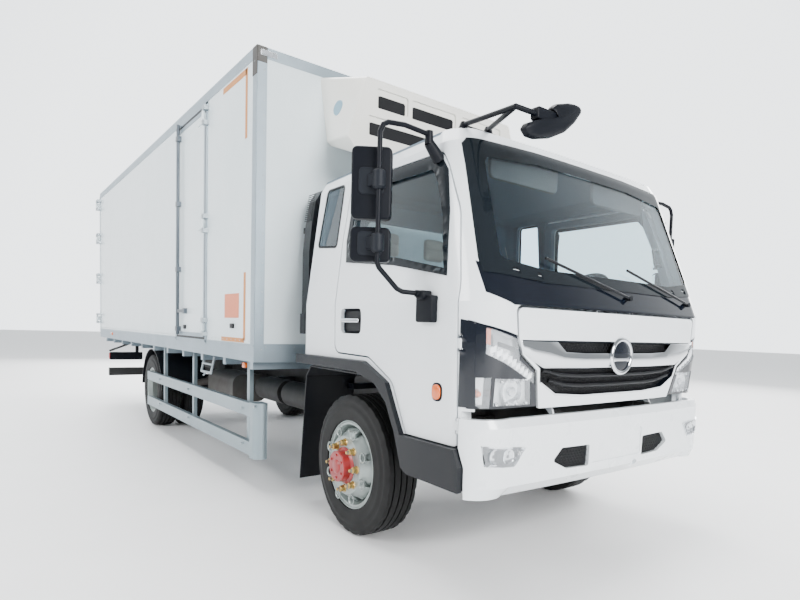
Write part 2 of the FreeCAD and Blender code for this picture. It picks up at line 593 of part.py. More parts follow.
def cab_shell():
    """The welded cab: skins, floor, raised deck, fire wall and the frames of its openings."""
    outer = cab_form(0)
    cavity = cab_form(CAB_SKIN).cut(box(-2000, 2000, -1200, 1200, 0, CAB_FLOOR_Z))
    cavity = cavity.cut(box(-2000, CAB_DECK_FRONT_X, -1200, 1200, 0, CAB_DECK_Z))
    cavity = cavity.cut(box(FIREWALL_X, 2000, -1200, 1200, 0, CAB_BELT_Z))
    spaces = [cavity,
              cab_form(CAB_SKIN).common(box(FIREWALL_X + CAB_SKIN, 1400, -1200, 1200, 860, CAB_BELT_Z - 20)),
              prism(WHEEL_ARCH, "y", -1200, 1200, (0, 0, 60, 150, 60, 0)),
              box(-800, 1400, -950, 950, 400, CAB_FLOOR_Z - 40),
              box(BUMPER_SIDE_X - 8, 1400, -1200, 1200, 400, 870),
              box(-800, 1400, -1200, 1200, 400, 700)]
    openings = []
    for side in (1, -1):
        openings.append(side_cut(grown(DOOR_OUTLINE, SHUT_GAP), DOOR_RADII, side, 700, OUTSIDE))
        rebate = side_cut(grown(DOOR_OUTLINE, REBATE), DOOR_RADII, side, 700, OUTSIDE)
        openings.append(rebate.common(cab_form(DOOR_LIP)))
        openings.append(side_cut(QUARTER_WINDOW, 45, side, 700, OUTSIDE))
        lamp = [(side * p[0], p[1]) for p in grown(HEADLAMP, LAMP_GAP)]
        openings.append(prism(lamp, "x", LAMP_REAR_X - LAMP_GAP, 1400, 0).cut(cab_form(LAMP_DEPTH + SEAT_GAP)))
    openings.append(prism(REAR_WINDOW, "x", CAB_REAR_X - 50, CAB_REAR_X + 100, 60))
    openings.append(prism(WINDSCREEN, "x", 650, 1400, WINDSCREEN_RADII))
    openings.append(prism(grown(FRONT_PANEL, PANEL_GAP), "x", FIREWALL_X + CAB_SKIN, 1400, PANEL_RADII))
    rebate = prism(grown(FRONT_PANEL, REBATE), "x", FIREWALL_X + CAB_SKIN, 1400, 0)
    openings.append(rebate.common(cab_form(DOOR_LIP)))
    openings.append(prism(grown(COWL, 2), "x", 970, 1400, 0).cut(cab_form(30)))
    for space in spaces + openings:
        outer = outer.cut(space)
    for side in (1, -1):
        outer = fused([outer.cut(door_hinge_rooms(side))] + door_hinge_pins(side) + [flap_hinge_housing(side)])
    outer = outer.cut(group([flap_hinge_slot(side) for side in (1, -1)]))
    return fused([outer, flap_hinge_pins()] + tilt_eyes())


def cab_glass():
    """Windscreen, rear window and the two quarter windows."""
    pane = cab_form(SEAT_GAP).cut(cab_form(SEAT_GAP + GLASS_T))
    panes = [pane.common(prism(WINDSCREEN, "x", 650, 1400, WINDSCREEN_RADII)),
             pane.common(prism(REAR_WINDOW, "x", CAB_REAR_X - 50, CAB_REAR_X + 100, 60))]
    for side in (1, -1):
        panes.append(pane.common(side_cut(QUARTER_WINDOW, 45, side, 700, OUTSIDE)))
    return group(panes)


def windscreen_cowl():
    """The black panel under the windscreen that carries the wiper spindles."""
    cowl = cab_form(0).cut(cab_form(30 - SEAT_GAP)).common(prism(COWL, "x", 972, 1400, 0))
    rooms = [box(FLAP_X - 80, 1400, side * FLAP_ARM_Y - 20, side * FLAP_ARM_Y + 20, 1340, FLAP_Z + 20)
             for side in (1, -1)]
    return cowl.cut(group(rooms).common(cab_form(COWL_THIN)))


FLAP_X = 1133                    # the service flap's hinge line, behind the cowl
FLAP_Z = 1410
FLAP_ARM_Y = 150
FLAP_ARM_W = 12
FLAP_ARM_IN = 61.5               # the goose-neck clears the cowl's lower lip by this radius
FLAP_ARM_OUT = 70
FLAP_PIN_R = 3
FLAP_EYE_R = 6
COWL_THIN = 10                   # the cowl's thickness in front of the hinges


def flap_hinge_housing(side):
    """The closed housing behind a goose-neck, on the shelf under the windscreen."""
    y = side * FLAP_ARM_Y
    block = box(FLAP_X - 83, FLAP_X - 13, y - 22, y + 22, CAB_BELT_Z - 20, FLAP_Z + 30)
    return block.common(cab_form(30))


def flap_hinge_slot(side):
    """The slot that a goose-neck swings in."""
    y = side * FLAP_ARM_Y
    return box(FLAP_X - 75, 1400, y - FLAP_ARM_W / 2 - 3, y + FLAP_ARM_W / 2 + 3, 1335, FLAP_Z + 22)


def flap_hinge_pins():
    """The pins that the goose-necks turn on, each between two lugs."""
    made = []
    for side in (1, -1):
        y = side * FLAP_ARM_Y
        pins = [rod(V(FLAP_X, y - 17, FLAP_Z), V(FLAP_X, y + 17, FLAP_Z), FLAP_PIN_R)]
        for y0 in (y - 17, y + 9):
            pins.append(rod(V(FLAP_X, y0, FLAP_Z), V(FLAP_X, y0 + 8, FLAP_Z), FLAP_EYE_R))
            pins.append(box(FLAP_X - 40, FLAP_X, y0, y0 + 8, FLAP_Z - FLAP_EYE_R, FLAP_Z + FLAP_EYE_R))
        made.append(fused(pins))
    return group(made)


def flap_hinge_arms():
    """The goose-necks that carry the service flap round the cowl's lower lip."""
    arms = []
    angles = [math.radians(172 + 14 * i) for i in range(8)]
    neck = [(FLAP_X + FLAP_ARM_OUT * math.cos(a), FLAP_Z + FLAP_ARM_OUT * math.sin(a)) for a in angles]
    neck += [(FLAP_X + FLAP_ARM_IN * math.cos(a), FLAP_Z + FLAP_ARM_IN * math.sin(a))
             for a in reversed(angles)]
    back = FLAP_X + 66 * math.cos(angles[0])
    rise = 66 * math.sin(angles[0])
    strap = [(FLAP_X, FLAP_Z - 4), (back, FLAP_Z + rise - 4), (back, FLAP_Z + rise + 4), (FLAP_X, FLAP_Z + 4)]
    for side in (1, -1):
        y0 = side * FLAP_ARM_Y - FLAP_ARM_W / 2
        y1 = y0 + FLAP_ARM_W
        foot = box(FLAP_X - 5, FLAP_X + 40, y0, y1, 1315, 1349).common(cab_form(PANEL_T / 2))
        eye = rod(V(FLAP_X, y0, FLAP_Z), V(FLAP_X, y1, FLAP_Z), FLAP_EYE_R)
        arm = fused([prism(neck, "y", y0, y1), prism(strap, "y", y0, y1), foot, eye])
        bore = rod(V(FLAP_X, y0 - 5, FLAP_Z), V(FLAP_X, y1 + 5, FLAP_Z), FLAP_PIN_R + RUNNING_FIT)
        arms.append(arm.cut(bore))
    return arms


DOOR_PIN_X = 985
DOOR_PIN_Y = 990
DOOR_PIN_R = 4
DOOR_EYE_R = 8
DOOR_EYE = 44                    # length of an eye
DOOR_LUG = 12
DOOR_HINGE_Z = (800, 1180)


def door_hinge_rooms(side):
    """The room that a door's two hinges take out of the pillar and the door's edge."""
    half = DOOR_EYE / 2 + DOOR_LUG + 5
    y0, y1 = sorted((side * (DOOR_PIN_Y - 11), side * (DOOR_PIN_Y + 7)))
    rooms = []
    for z in DOOR_HINGE_Z:
        room = Part.makeCylinder(DOOR_EYE_R + 3, 2 * half, V(DOOR_PIN_X, side * DOOR_PIN_Y, z - half))
        rooms.append(room.fuse(box(DOOR_PIN_X - 15, DOOR_PIN_X, y0, y1, z - half, z + half)))
    return group(rooms)


def door_hinge_pins(side):
    """The pins of a door's hinges with their lugs on the pillar."""
    lugs = []
    for z in DOOR_HINGE_Z:
        low = z - DOOR_EYE / 2 - DOOR_LUG - 1
        high = z + DOOR_EYE / 2 + 1
        lugs.append(Part.makeCylinder(DOOR_PIN_R, high + DOOR_LUG - low,
                                      V(DOOR_PIN_X, side * DOOR_PIN_Y, low)))
        for z0 in (low, high):
            lugs.append(Part.makeCylinder(DOOR_EYE_R, DOOR_LUG, V(DOOR_PIN_X, side * DOOR_PIN_Y, z0)))
            y0, y1 = sorted((side * (DOOR_PIN_Y - 25), side * (DOOR_PIN_Y + 2)))
            lugs.append(box(DOOR_PIN_X, BUMPER_SIDE_X - 9, y0, y1, z0, z0 + DOOR_LUG))
    return lugs


def door_hinge_eyes(side):
    """The eyes that turn on the pins, each with its strap into the door."""
    eyes = []
    for z in DOOR_HINGE_Z:
        half = DOOR_EYE / 2
        eye = Part.makeCylinder(DOOR_EYE_R, DOOR_EYE, V(DOOR_PIN_X, side * DOOR_PIN_Y, z - half))
        y0, y1 = sorted((side * (DOOR_PIN_Y - 8), side * (DOOR_PIN_Y + 4)))
        strap = box(DOOR_PIN_X - 30, DOOR_PIN_X, y0, y1, z - half, z + half)
        bore = Part.makeCylinder(DOOR_PIN_R + RUNNING_FIT, 80, V(DOOR_PIN_X, side * DOOR_PIN_Y, z - 40))
        eyes.append(eye.fuse(strap).cut(bore))
    return eyes


def cab_door(side):
    """One whole door, with its window frame and a cup behind the handle."""
    skin = cab_form(0).cut(cab_form(CAB_DOOR_T))
    door = skin.common(side_cut(DOOR_OUTLINE, DOOR_RADII, side, 700, OUTSIDE))
    window = side_cut(DOOR_WINDOW, DOOR_WINDOW_RADII, side, 700, OUTSIDE)
    cup = prism([(-107, 1200), (124, 1200), (124, 1345), (-107, 1345)], "y",
                *sorted((side * 972, side * OUTSIDE)), 30)
    return fused([door.cut(group([window, cup, door_hinge_rooms(side)]))] + door_hinge_eyes(side))


def door_glass(side):
    pane = cab_form(20).cut(cab_form(20 + GLASS_T))
    return pane.common(side_cut(DOOR_WINDOW, DOOR_WINDOW_RADII, side, 700, OUTSIDE))


def front_panel():
    """The service flap between the headlamps: a plain upper band and a lower lip round the grille."""
    outer = prism(FRONT_PANEL, "x", FIREWALL_X + CAB_SKIN, 1400, PANEL_RADII)
    panel = cab_form(0).cut(cab_form(PANEL_T)).common(outer)
    return fused([panel.cut(prism(GRILLE_HOLE, "x", FIREWALL_X + CAB_SKIN, 1400))] + flap_hinge_arms())


WING_PROUD = 8                   # the bright wings stand this far off the flap
EMBLEM_Z = 1127
EMBLEM_R = 102
# outline of the left wing, as (across, up)
WING = ((378, 1149), (484, 1181), (766, 1192), (745, 1132), (622, 1073))
# the two bars across the mesh below the wings
GRILLE_BARS = (
    ((-585, 1056), (-492, 1012), (-300, 1000), (300, 1000), (492, 1012), (585, 1056), (600, 1042), (497, 997),
     (300, 986), (-300, 986), (-497, 997), (-600, 1042)),
    ((-604, 1022), (-480, 968), (-300, 957), (300, 957), (480, 968), (604, 1022), (606, 1006), (484, 954),
     (300, 944), (-300, 944), (-484, 954), (-606, 1006)),
)


def front_grille():
    """The grille's carrier behind the flap's opening, its two bars, and the bright wings across it."""
    rear = PANEL_T + SEAT_GAP
    carrier = cab_form(rear).cut(cab_form(rear + 8)).common(
        prism(grown(GRILLE_HOLE, 10), "x", FIREWALL_X + CAB_SKIN, 1400))
    bars = [cab_form(2).cut(cab_form(rear + 2)).common(prism(bar, "x", FIREWALL_X + CAB_SKIN, 1400))
            for bar in GRILLE_BARS]
    wings = cab_form(-WING_PROUD).cut(cab_form(-SEAT_GAP)).common(
        prism(WING + tuple((-y, z) for y, z in reversed(WING)), "x", FIREWALL_X + CAB_SKIN, 1400))
    roots = cab_form(-2).cut(cab_form(rear + 2)).common(
        prism([(-600, 1084), (600, 1084), (480, 1134), (-480, 1134)], "x", FIREWALL_X + CAB_SKIN, 1400))
    disc = rod(V(CAB_NOSE_X - 30, 0, EMBLEM_Z), V(CAB_NOSE_X + 14, 0, EMBLEM_Z), EMBLEM_R)
    return fused([carrier, wings, roots, disc.cut(cab_form(-SEAT_GAP))] + bars)


def headlamp(side):
    lamp = [(side * p[0], p[1]) for p in HEADLAMP]
    return cab_form(SEAT_GAP).cut(cab_form(LAMP_DEPTH)).common(prism(lamp, "x", LAMP_REAR_X, 1400, 0))


def arch_trim(side):
    """The black lip round the front wheel and the step panel under the door."""
    band = [(-655, 1048), (-655, 990), (125, 985), (325, 935), (440, 845), (522, 705), (590, 530),
            (640, 505), (1035, 500), (1035, 612), (1000, 696), (573, 696), (428, 950), (190, 1048)]
    lip = prism(band, "y", *sorted((side * (CAB_HALF_WIDTH + SEAT_GAP), side * 1030)), 0)
    panel = prism([(602, 530), (640, 505), (1030, 505), (1030, 610), (998, 690), (602, 690)], "y",
                  *sorted((side * 960, side * 1030)))
    tread = box(620, 1030, *sorted((side * 760, side * 975)), 505, 545)
    carrier = box(620, 660, *sorted((side * 760, side * 920)), 545, CAB_FLOOR_Z - 40 - SEAT_GAP)
    return fused([lip, panel, tread, carrier])


def dashboard():
    """The moulded fascia on its foot, with the steering column's shroud on the left."""
    front = FIREWALL_X - SEAT_GAP
    fascia = prism([(front - 20, 1470), (900, 1490), (740, 1400), (720, 1250), (800, 1150), (900, 1120),
                    (front - 20, 1120)], "y", -840, 840, 25)
    shroud = prism([(820, 1180), (820, 1290), (STEER_TOP.x + 14, STEER_TOP.z + 24),
                    (STEER_TOP.x - 8, STEER_TOP.z - 42)], "y", DRIVER_Y - 40, DRIVER_Y + 40)
    foot = box(front - 50, front, -840, 840, CAB_FLOOR_Z + SEAT_GAP, 1130)
    bore = rod(STEER_TOP + STEER_AXIS * 30, STEER_TOP - STEER_AXIS * 130, COLUMN_R + RUNNING_FIT)
    return fused([fascia, shroud, foot]).cut(bore)


DRIVER_Y = 430
SEAT_X = -60
STEER_TOP = V(560, DRIVER_Y, 1420)
STEER_AXIS = V(-0.62, 0, 0.785).normalize()
STEER_RADIUS = 225
COLUMN_R = 18


def steering_wheel():
    """A two-spoke wheel on the top of its column."""
    hub_top = STEER_TOP + STEER_AXIS * 75
    section = [V(STEER_RADIUS + 16 * math.cos(a), 0, 16 * math.sin(a)) for a in
               [2 * math.pi * (i + 0.5) / 10 for i in range(10)]]
    rim = Part.Face(Part.makePolygon(section + section[:1])).revolve(V(0, 0, 0), V(0, 0, 1), 360)
    rim.Placement = FreeCAD.Placement(hub_top, FreeCAD.Rotation(V(0, 0, 1), STEER_AXIS))
    boss = Part.makeCylinder(55, 50, STEER_TOP + STEER_AXIS * 45, STEER_AXIS)
    shaft = rod(STEER_TOP - STEER_AXIS * 120, STEER_TOP + STEER_AXIS * 50, COLUMN_R)
    spokes = [rod(hub_top, hub_top + V(0, s * STEER_RADIUS, 0), 13) for s in (1, -1)]
    lower = STEER_AXIS.cross(V(0, 1, 0)).normalize()
    spokes.append(rod(hub_top, hub_top + lower * STEER_RADIUS, 13))
    return fused([rim, boss, shaft] + spokes)


def seats():
    """Driver's seat and the wider passenger bench, each a cushion and a backrest."""
    made = []
    for y0, y1 in ((DRIVER_Y - 240, DRIVER_Y + 240), (-680, 60)):
        side_view = [(SEAT_X - 280, CAB_DECK_Z + SEAT_GAP), (SEAT_X + 300, CAB_DECK_Z + SEAT_GAP),
                     (SEAT_X + 330, CAB_DECK_Z + 170), (SEAT_X - 110, CAB_DECK_Z + 150),
                     (SEAT_X - 250, CAB_DECK_Z + 640), (SEAT_X - 250, CAB_DECK_Z + 800),
                     (SEAT_X - 340, CAB_DECK_Z + 800), (SEAT_X - 330, CAB_DECK_Z + 500)]
        made.append(prism(side_view, "y", y0, y1, 25))
    return group(made)


WIPER_Z = 1440


def wipers():
    """Two wiper arms with their blades, parked along the cowl."""
    made = []
    for pivot_y, tip_y in ((60, -560), (720, 110)):
        pivot = V(cab_front_x(pivot_y, WIPER_Z), pivot_y, WIPER_Z)
        stub = rod(pivot - V(30, 0, 0), pivot + V(34, 0, 0), 14)
        tip = V(cab_front_x(tip_y, 1600) + 26, tip_y, 1600)
        made.append(stub.fuse(rod(pivot + V(26, 0, 0), tip, 7)).cut(cab_form(-SEAT_GAP)))
    return group(made)


def cab_front_x(y, z):
    """Where the front of the cab lies at a height, on the shallow part of its curve."""
    lean = max(0.0, z - CAB_BELT_Z) * HEADER_BACK / (HEADER_Z - CAB_BELT_Z)
    return CAB_NOSE_X - lean - CHEEK_DROP * (y / CHEEK_Y) ** 2


# front, width, bottom, top and depth of the mirror heads
MIRROR_HEADS = ((705, 230, 1720, 2110, 75), (705, 220, 1520, 1700, 85))


def door_mirror(side):
    """The door mirror: a tube from the window frame's front down to the belt, with two heads."""
    y = side * 1260
    arm = bent_rod([V(692, side * 925, 2078), V(690, side * 1060, 2160), V(690, y, 2165), V(690, y, 1540),
                    V(735, side * 1040, 1405)], 14, 40)
    foot = rod(V(692, side * 850, 2060), V(692, side * 950, 2086), 20).cut(cab_form(-SEAT_GAP))
    clamp = rod(V(740, side * 940, 1400), V(735, side * 1045, 1405), 26).cut(cab_form(-SEAT_GAP))
    heads = []
    for front, width, low, high, depth in MIRROR_HEADS:
        y0, y1 = sorted((y - side * width / 2, y + side * width / 2))
        heads.append(prism([(y0, low), (y1, low), (y1, high), (y0, high)], "x", front - depth, front, 35))
    return fused([arm, foot, clamp] + heads)


def blind_spot_mirror():
    """The kerb mirror on its triangular arm above the windscreen's right corner."""
    back = BLIND_SPOT_FRONT_X - 55
    apex = V(back - 15, -900, 2215)
    left = rod(V(760, -800, 2180), apex, 11)
    right = rod(V(780, -610, 2215), apex, 11)
    reach = rod(apex, V(back + 20, -690, 2205), 11)
    head = prism([(-892, 2100), (-800, 2076), (-600, 2150), (-501, 2240), (-510, 2288), (-613, 2292),
                  (-850, 2190)], "x", back, BLIND_SPOT_FRONT_X, (30, 40, 60, 40, 20, 50, 40))
    return fused([left, right, reach, head]).cut(cab_form(-SEAT_GAP))


# ------------------------------------------------------------------ front end
BUMPER_NOSE_X = 1178
BUMPER_TOP_Z = 838
BUMPER_BOTTOM_Z = 470
FOG_HOLE = ((957, 724), (719, 704), (788, 618), (944, 630))
MESH_HOLE = ((245, 560), (245, 671), (460, 675), (524, 613), (420, 566))
PLATE_RECESS = ((-230, 572), (-230, 727), (230, 727), (230, 572))
TOW_Y = 180                      # the towing eye's socket in the bumper
TOW_Z = 520
TOW_R = 16
TOW_REACH = 105                  # length of its wall
TOW_RECESS_R = 25
BUMPER_BAR_X = 1035


def bumper_form(inset):
    wires = []
    for z, back in ((BUMPER_BOTTOM_Z, 68), (525, 8), (800, 0), (BUMPER_TOP_Z, 30)):
        wires.append(plan_section(z, BUMPER_NOSE_X - back - inset, CAB_HALF_WIDTH + 8 - inset, CAB_REAR_X, 0.0,
                                  CHEEK_Y - inset, BUMPER_NOSE_X - CHEEK_DROP - 986 - back))
    return Part.makeLoft(wires, True, True)


def front_bumper():
    """The moulded bumper shell with its mesh and lamp recesses, and the bar that carries it."""
    region = prism([(1041, 400), (1041, 615), (BUMPER_SIDE_X, 704), (BUMPER_SIDE_X, 900), (1400, 900),
                    (1400, 400)], "y", -1100, 1100)
    shell = bumper_form(0).cut(bumper_form(28)).common(region)
    cuts = []
    for side in (1, -1):
        for hole in (MESH_HOLE, FOG_HOLE):
            cuts.append(prism([(side * p[0], p[1]) for p in hole], "x", 1000, 1400, 12))
    cuts.append(prism(PLATE_RECESS, "x", 1000, 1400, 15).cut(bumper_form(5)))
    shell = shell.cut(group(cuts))
    bar = box(BUMPER_BAR_X, BUMPER_BAR_X + 60, -780, 780, 490, 550)
    links = [box(BUMPER_BAR_X + 50, 1200, s * 180 - 40, s * 180 + 40, 490, 550).common(bumper_form(20))
             for s in (1, -1)]
    stays = [prism([(920, RAIL_BOTTOM_Z), (RAIL_FRONT_X, RAIL_BOTTOM_Z), (BUMPER_BAR_X + 55, 550),
                    (BUMPER_BAR_X + 55, 490), (BUMPER_BAR_X, 490)],
                   "y", s * (RAIL_Y - 25) - 28, s * (RAIL_Y - 25) + 28) for s in (1, -1)]
    socket = rod(V(BUMPER_BAR_X - 20, TOW_Y, TOW_Z), V(1400, TOW_Y, TOW_Z), TOW_R)
    recess = rod(V(BUMPER_BAR_X + TOW_REACH, TOW_Y, TOW_Z), V(1400, TOW_Y, TOW_Z), TOW_RECESS_R)
    return fused([shell, bar] + links + stays).cut(group([socket, recess]))


def fog_lamps():
    lamp = prism(grown(FOG_HOLE, -SEAT_GAP), "x", BUMPER_SIDE_X, 1400, 12)
    return both_sides(bumper_form(14).cut(bumper_form(60)).common(lamp))


def mudguard_front():
    """The liner over a steered wheel with its hanging flap."""
    liner = prism([(545, 560), (480, 720), (330, 905), (120, 960), (-560, 965), (-622, 900), (-700, 180),
                   (-706, 180), (-630, 905), (-566, 973), (120, 968), (338, 912), (488, 725), (553, 560)],
                  "y", 590, 965)
    stay = box(-600, -560, RAIL_Y + RAIL_T / 2, 592, 800, 840)
    foot = box(-640, -560, 590, 640, 800, 840)
    return fused([liner, stay, foot])


def mudguard_rear():
    """A half-round guard over each twin wheel."""
    outer_y = (REAR_TRACK + TWIN_SPACING) / 2 + TYRE_WIDTH / 2
    inner_y = (REAR_TRACK - TWIN_SPACING) / 2 - TYRE_WIDTH / 2
    ring = Part.makeCylinder(486, outer_y - inner_y, V(REAR_AXLE_X, inner_y, AXLE_Z), V(0, 1, 0))
    ring = ring.cut(Part.makeCylinder(478, outer_y - inner_y, V(REAR_AXLE_X, inner_y, AXLE_Z), V(0, 1, 0)))
    ring = ring.common(box(REAR_AXLE_X - 520, REAR_AXLE_X + 520, 0, 1300, AXLE_Z + 40, 1200))
    stays = [rod(V(REAR_AXLE_X + dx, RAIL_Y + RAIL_T / 2, 800), V(REAR_AXLE_X + dx, inner_y + 120, 800), 16)
             for dx in (-318, 318)]
    return fused([ring] + stays)


GUARD_Y = 1130
GUARD_FRONT_X = -1065
GUARD_REAR_X = -4440


def side_guard(side):
    """Two rails and their uprights between the axles, under the edge of the box."""
    y0, y1 = sorted((side * (GUARD_Y - 40), side * GUARD_Y))
    rails = [box(GUARD_REAR_X, GUARD_FRONT_X - 60, y0, y1, z, z + 100) for z in (260, 550)]
    nose = prism([(GUARD_FRONT_X - 135, side * (GUARD_Y - 85)), (GUARD_FRONT_X - 135, side * (GUARD_Y + 12)),
                  (GUARD_FRONT_X, side * (GUARD_Y + 12)), (GUARD_FRONT_X, side * (GUARD_Y - 85))], "z", 250, 662,
                 (0, 20, 65, 25))
    posts = [box(x - 25, x + 25, min(side * (GUARD_Y - 70), side * (GUARD_Y - 40)),
                 max(side * (GUARD_Y - 70), side * (GUARD_Y - 40)), 280, BOX_BOTTOM_Z)
             for x in (-1350, -2770, -3840)]
    return fused(rails + [nose] + posts)


PLATE_SPACING = 300              # the rear number plate's two holes
PLATE_HOLE_R = 3.5


def underrun_bar():
    """The rear bumper bar on its two hangers and diagonal stays."""
    bar = box(BOX_REAR_X + 20, BOX_REAR_X + 90, -1100, 1100, 380, 500)
    hangers = []
    for side in (1, -1):
        y0, y1 = sorted((side * (RAIL_Y + RAIL_T / 2), side * (RAIL_Y + 60)))
        hangers.append(prism([(BOX_REAR_X + 90, 400), (BOX_REAR_X + 90, 480), (BOX_REAR_X + 300, RAIL_TOP_Z - 40),
                              (BOX_REAR_X + 130, RAIL_TOP_Z - 40), (BOX_REAR_X + 60, 500), (BOX_REAR_X + 60, 400)],
                             "y", y0, y1))
    holes = [rod(V(BOX_REAR_X + 10, s * PLATE_SPACING / 2, 440), V(BOX_REAR_X + 100, s * PLATE_SPACING / 2, 440),
                 PLATE_HOLE_R) for s in (1, -1)]
    return fused([bar] + hangers).cut(group(holes))


def tail_lamps():
    lamps = []
    for side in (1, -1):
        y0, y1 = sorted((side * 640, side * 1090))
        lamps.append(prism([(y0, 620), (y1, 620), (y1, 740), (y0, 740)], "x", BOX_REAR_X + 20,
                           BOX_REAR_X + 80, 15))
        arm = box(BOX_REAR_X + 60, BOX_REAR_X + 110, min(side * 700, side * 740), max(side * 700, side * 740),
                  730, BOX_BOTTOM_Z)
        lamps[-1] = lamps[-1].fuse(arm)
    return group(lamps)


SNORKEL_X = (CAB_REAR_X + BOX_FRONT_X) / 2
SNORKEL_Y = -805


def air_snorkel():
    """The raised engine air intake behind the cab's right corner, with its top turned in."""
    mast = prism([(-905, 1250), (-905, 1750), (-890, 1920), (-862, 2100), (-815, 2180), (-700, 2188),
                  (-700, 1250)], "x", SNORKEL_X - 50, SNORKEL_X + 50, (0, 0, 0, 0, 20, 20, 0))
    collar = prism([(SNORKEL_X - 62, -925), (SNORKEL_X + 62, -925), (SNORKEL_X + 62, -690),
                    (SNORKEL_X - 62, -690)], "z", 1180, 1320, 35)
    hose = bent_rod([V(SNORKEL_X, SNORKEL_Y, 1190), V(SNORKEL_X, SNORKEL_Y, 960),
                     V(SNORKEL_X, -500, 900)], 50, 90)
    strap = [box(BOX_FRONT_X + SEAT_GAP, SNORKEL_X - 40, SNORKEL_Y - 40, SNORKEL_Y + 40, z, z + 40)
             for z in (1400, 1900)]
    return fused([mast, collar, hose] + strap)


# ------------------------------------------------------------------ insulated box
# side door in the right wall
SIDE_DOOR_REAR_X = -2890
SIDE_DOOR_FRONT_X = -2065
SIDE_DOOR_LOW_Z = 1110
SIDE_DOOR_HIGH_Z = 3000


def box_floor():
    """The load floor with its edge rails and the cross bearers that sit on the frame."""
    slab = box(BOX_REAR_X, BOX_FRONT_X, -HALF_BOX, HALF_BOX, BOX_BOTTOM_Z, FLOOR_TOP_Z)
    runners = [box(BOX_REAR_X + 130, BOX_FRONT_X - 40, s * (RAIL_Y - 30) - 30, s * (RAIL_Y - 30) + 30,
                   RAIL_TOP_Z, BOX_BOTTOM_Z) for s in (1, -1)]
    bearers = []
    count = 11
    for i in range(count):
        x = BOX_FRONT_X - 150 - i * (BOX_LENGTH - 400) / (count - 1)
        if abs(x - REAR_AXLE_X) > 60:
            bearers.append(box(x - 30, x + 30, -HALF_BOX + 40, HALF_BOX - 40, BOX_BOTTOM_Z - 60, BOX_BOTTOM_Z))
    return fused([slab] + runners + bearers)


def box_walls():
    """Left wall, right wall with its door opening, front wall and roof."""
    rear = BOX_REAR_X + REAR_FRAME_T
    left = box(rear, BOX_FRONT_X - BOX_WALL, HALF_BOX - BOX_WALL, HALF_BOX, FLOOR_TOP_Z, ROOF_UNDER_Z)
    right = mirrored(left)
    opening = prism([(SIDE_DOOR_REAR_X - BOX_DOOR_GAP, SIDE_DOOR_LOW_Z - BOX_DOOR_GAP),
                     (SIDE_DOOR_FRONT_X + BOX_DOOR_GAP, SIDE_DOOR_LOW_Z - BOX_DOOR_GAP),
                     (SIDE_DOOR_FRONT_X + BOX_DOOR_GAP, SIDE_DOOR_HIGH_Z + BOX_DOOR_GAP),
                     (SIDE_DOOR_REAR_X - BOX_DOOR_GAP, SIDE_DOOR_HIGH_Z + BOX_DOOR_GAP)], "y", -1400, -1000)
    front = box(BOX_FRONT_X - BOX_WALL, BOX_FRONT_X, -HALF_BOX, HALF_BOX, FLOOR_TOP_Z, ROOF_UNDER_Z)
    roof = box(BOX_REAR_X, BOX_FRONT_X, -HALF_BOX, HALF_BOX, ROOF_UNDER_Z, BOX_TOP_Z)
    return left, right.cut(opening), front, roof


def rear_frame():
    """The portal that the rear doors close against."""
    rear = BOX_REAR_X
    outer = box(rear, rear + REAR_FRAME_T, -HALF_BOX, HALF_BOX, FLOOR_TOP_Z, ROOF_UNDER_Z)
    inner = box(rear - 10, rear + REAR_FRAME_T + 10, -HALF_BOX + REAR_FRAME_W, HALF_BOX - REAR_FRAME_W,
                FLOOR_TOP_Z - 10, ROOF_UNDER_Z - 50)
    return outer.cut(inner)


DOOR_SPLIT = 6                   # half the gap between the two rear doors


REAR_HINGE_Z = (1250, 1850, 2450, 2950)


def rear_door(side):
    """One insulated leaf; its straps reach round to pins outside the box's corner."""
    rear = BOX_REAR_X - REAR_DOOR_T
    leaf = box(rear, BOX_REAR_X - SEAT_GAP, min(side * DOOR_SPLIT, side * HALF_BOX),
               max(side * DOOR_SPLIT, side * HALF_BOX), FLOOR_TOP_Z - 80, BOX_TOP_Z - 30)
    pin_y = side * (HALF_BOX + HINGE_OUT)
    straps = []
    for z in REAR_HINGE_Z:
        eye = Part.makeCylinder(HINGE_EYE_R, 70, V(REAR_PIN_X, pin_y, z - 35))
        y0, y1 = sorted((side * (HALF_BOX - 260), pin_y))
        blade = box(rear - 10, rear, y0, y1, z - 30, z + 30)
        x0, x1 = sorted((REAR_PIN_X, rear))
        ear_y0, ear_y1 = sorted((side * (HALF_BOX + 10), pin_y))
        ear = box(x0, x1, ear_y0, ear_y1, z - 30, z + 30)
        bore = Part.makeCylinder(HINGE_PIN_R + RUNNING_FIT, 90, V(REAR_PIN_X, pin_y, z - 45))
        straps.append(fused([eye, blade, ear]).cut(bore))
    return fused([leaf] + straps)


def rear_hinge_pins(side):
    """The pins and their blocks on the rear frame's corner post."""
    pin_y = side * (HALF_BOX + HINGE_OUT)
    blocks = []
    for z in REAR_HINGE_Z:
        pin = Part.makeCylinder(HINGE_PIN_R, 150, V(REAR_PIN_X, pin_y, z - 75))
        for z0 in (z - 75, z + 41):
            y0, y1 = sorted((side * (HALF_BOX + SEAT_GAP), side * (HALF_BOX + HINGE_OUT + 12)))
            plate = box(REAR_PIN_X - 12, BOX_REAR_X + 60, y0, y1, z0, z0 + 34)
            pin = pin.fuse(plate)
        blocks.append(pin)
    return blocks


LOCK_Y = (260, 1000)             # the two rods of each leaf


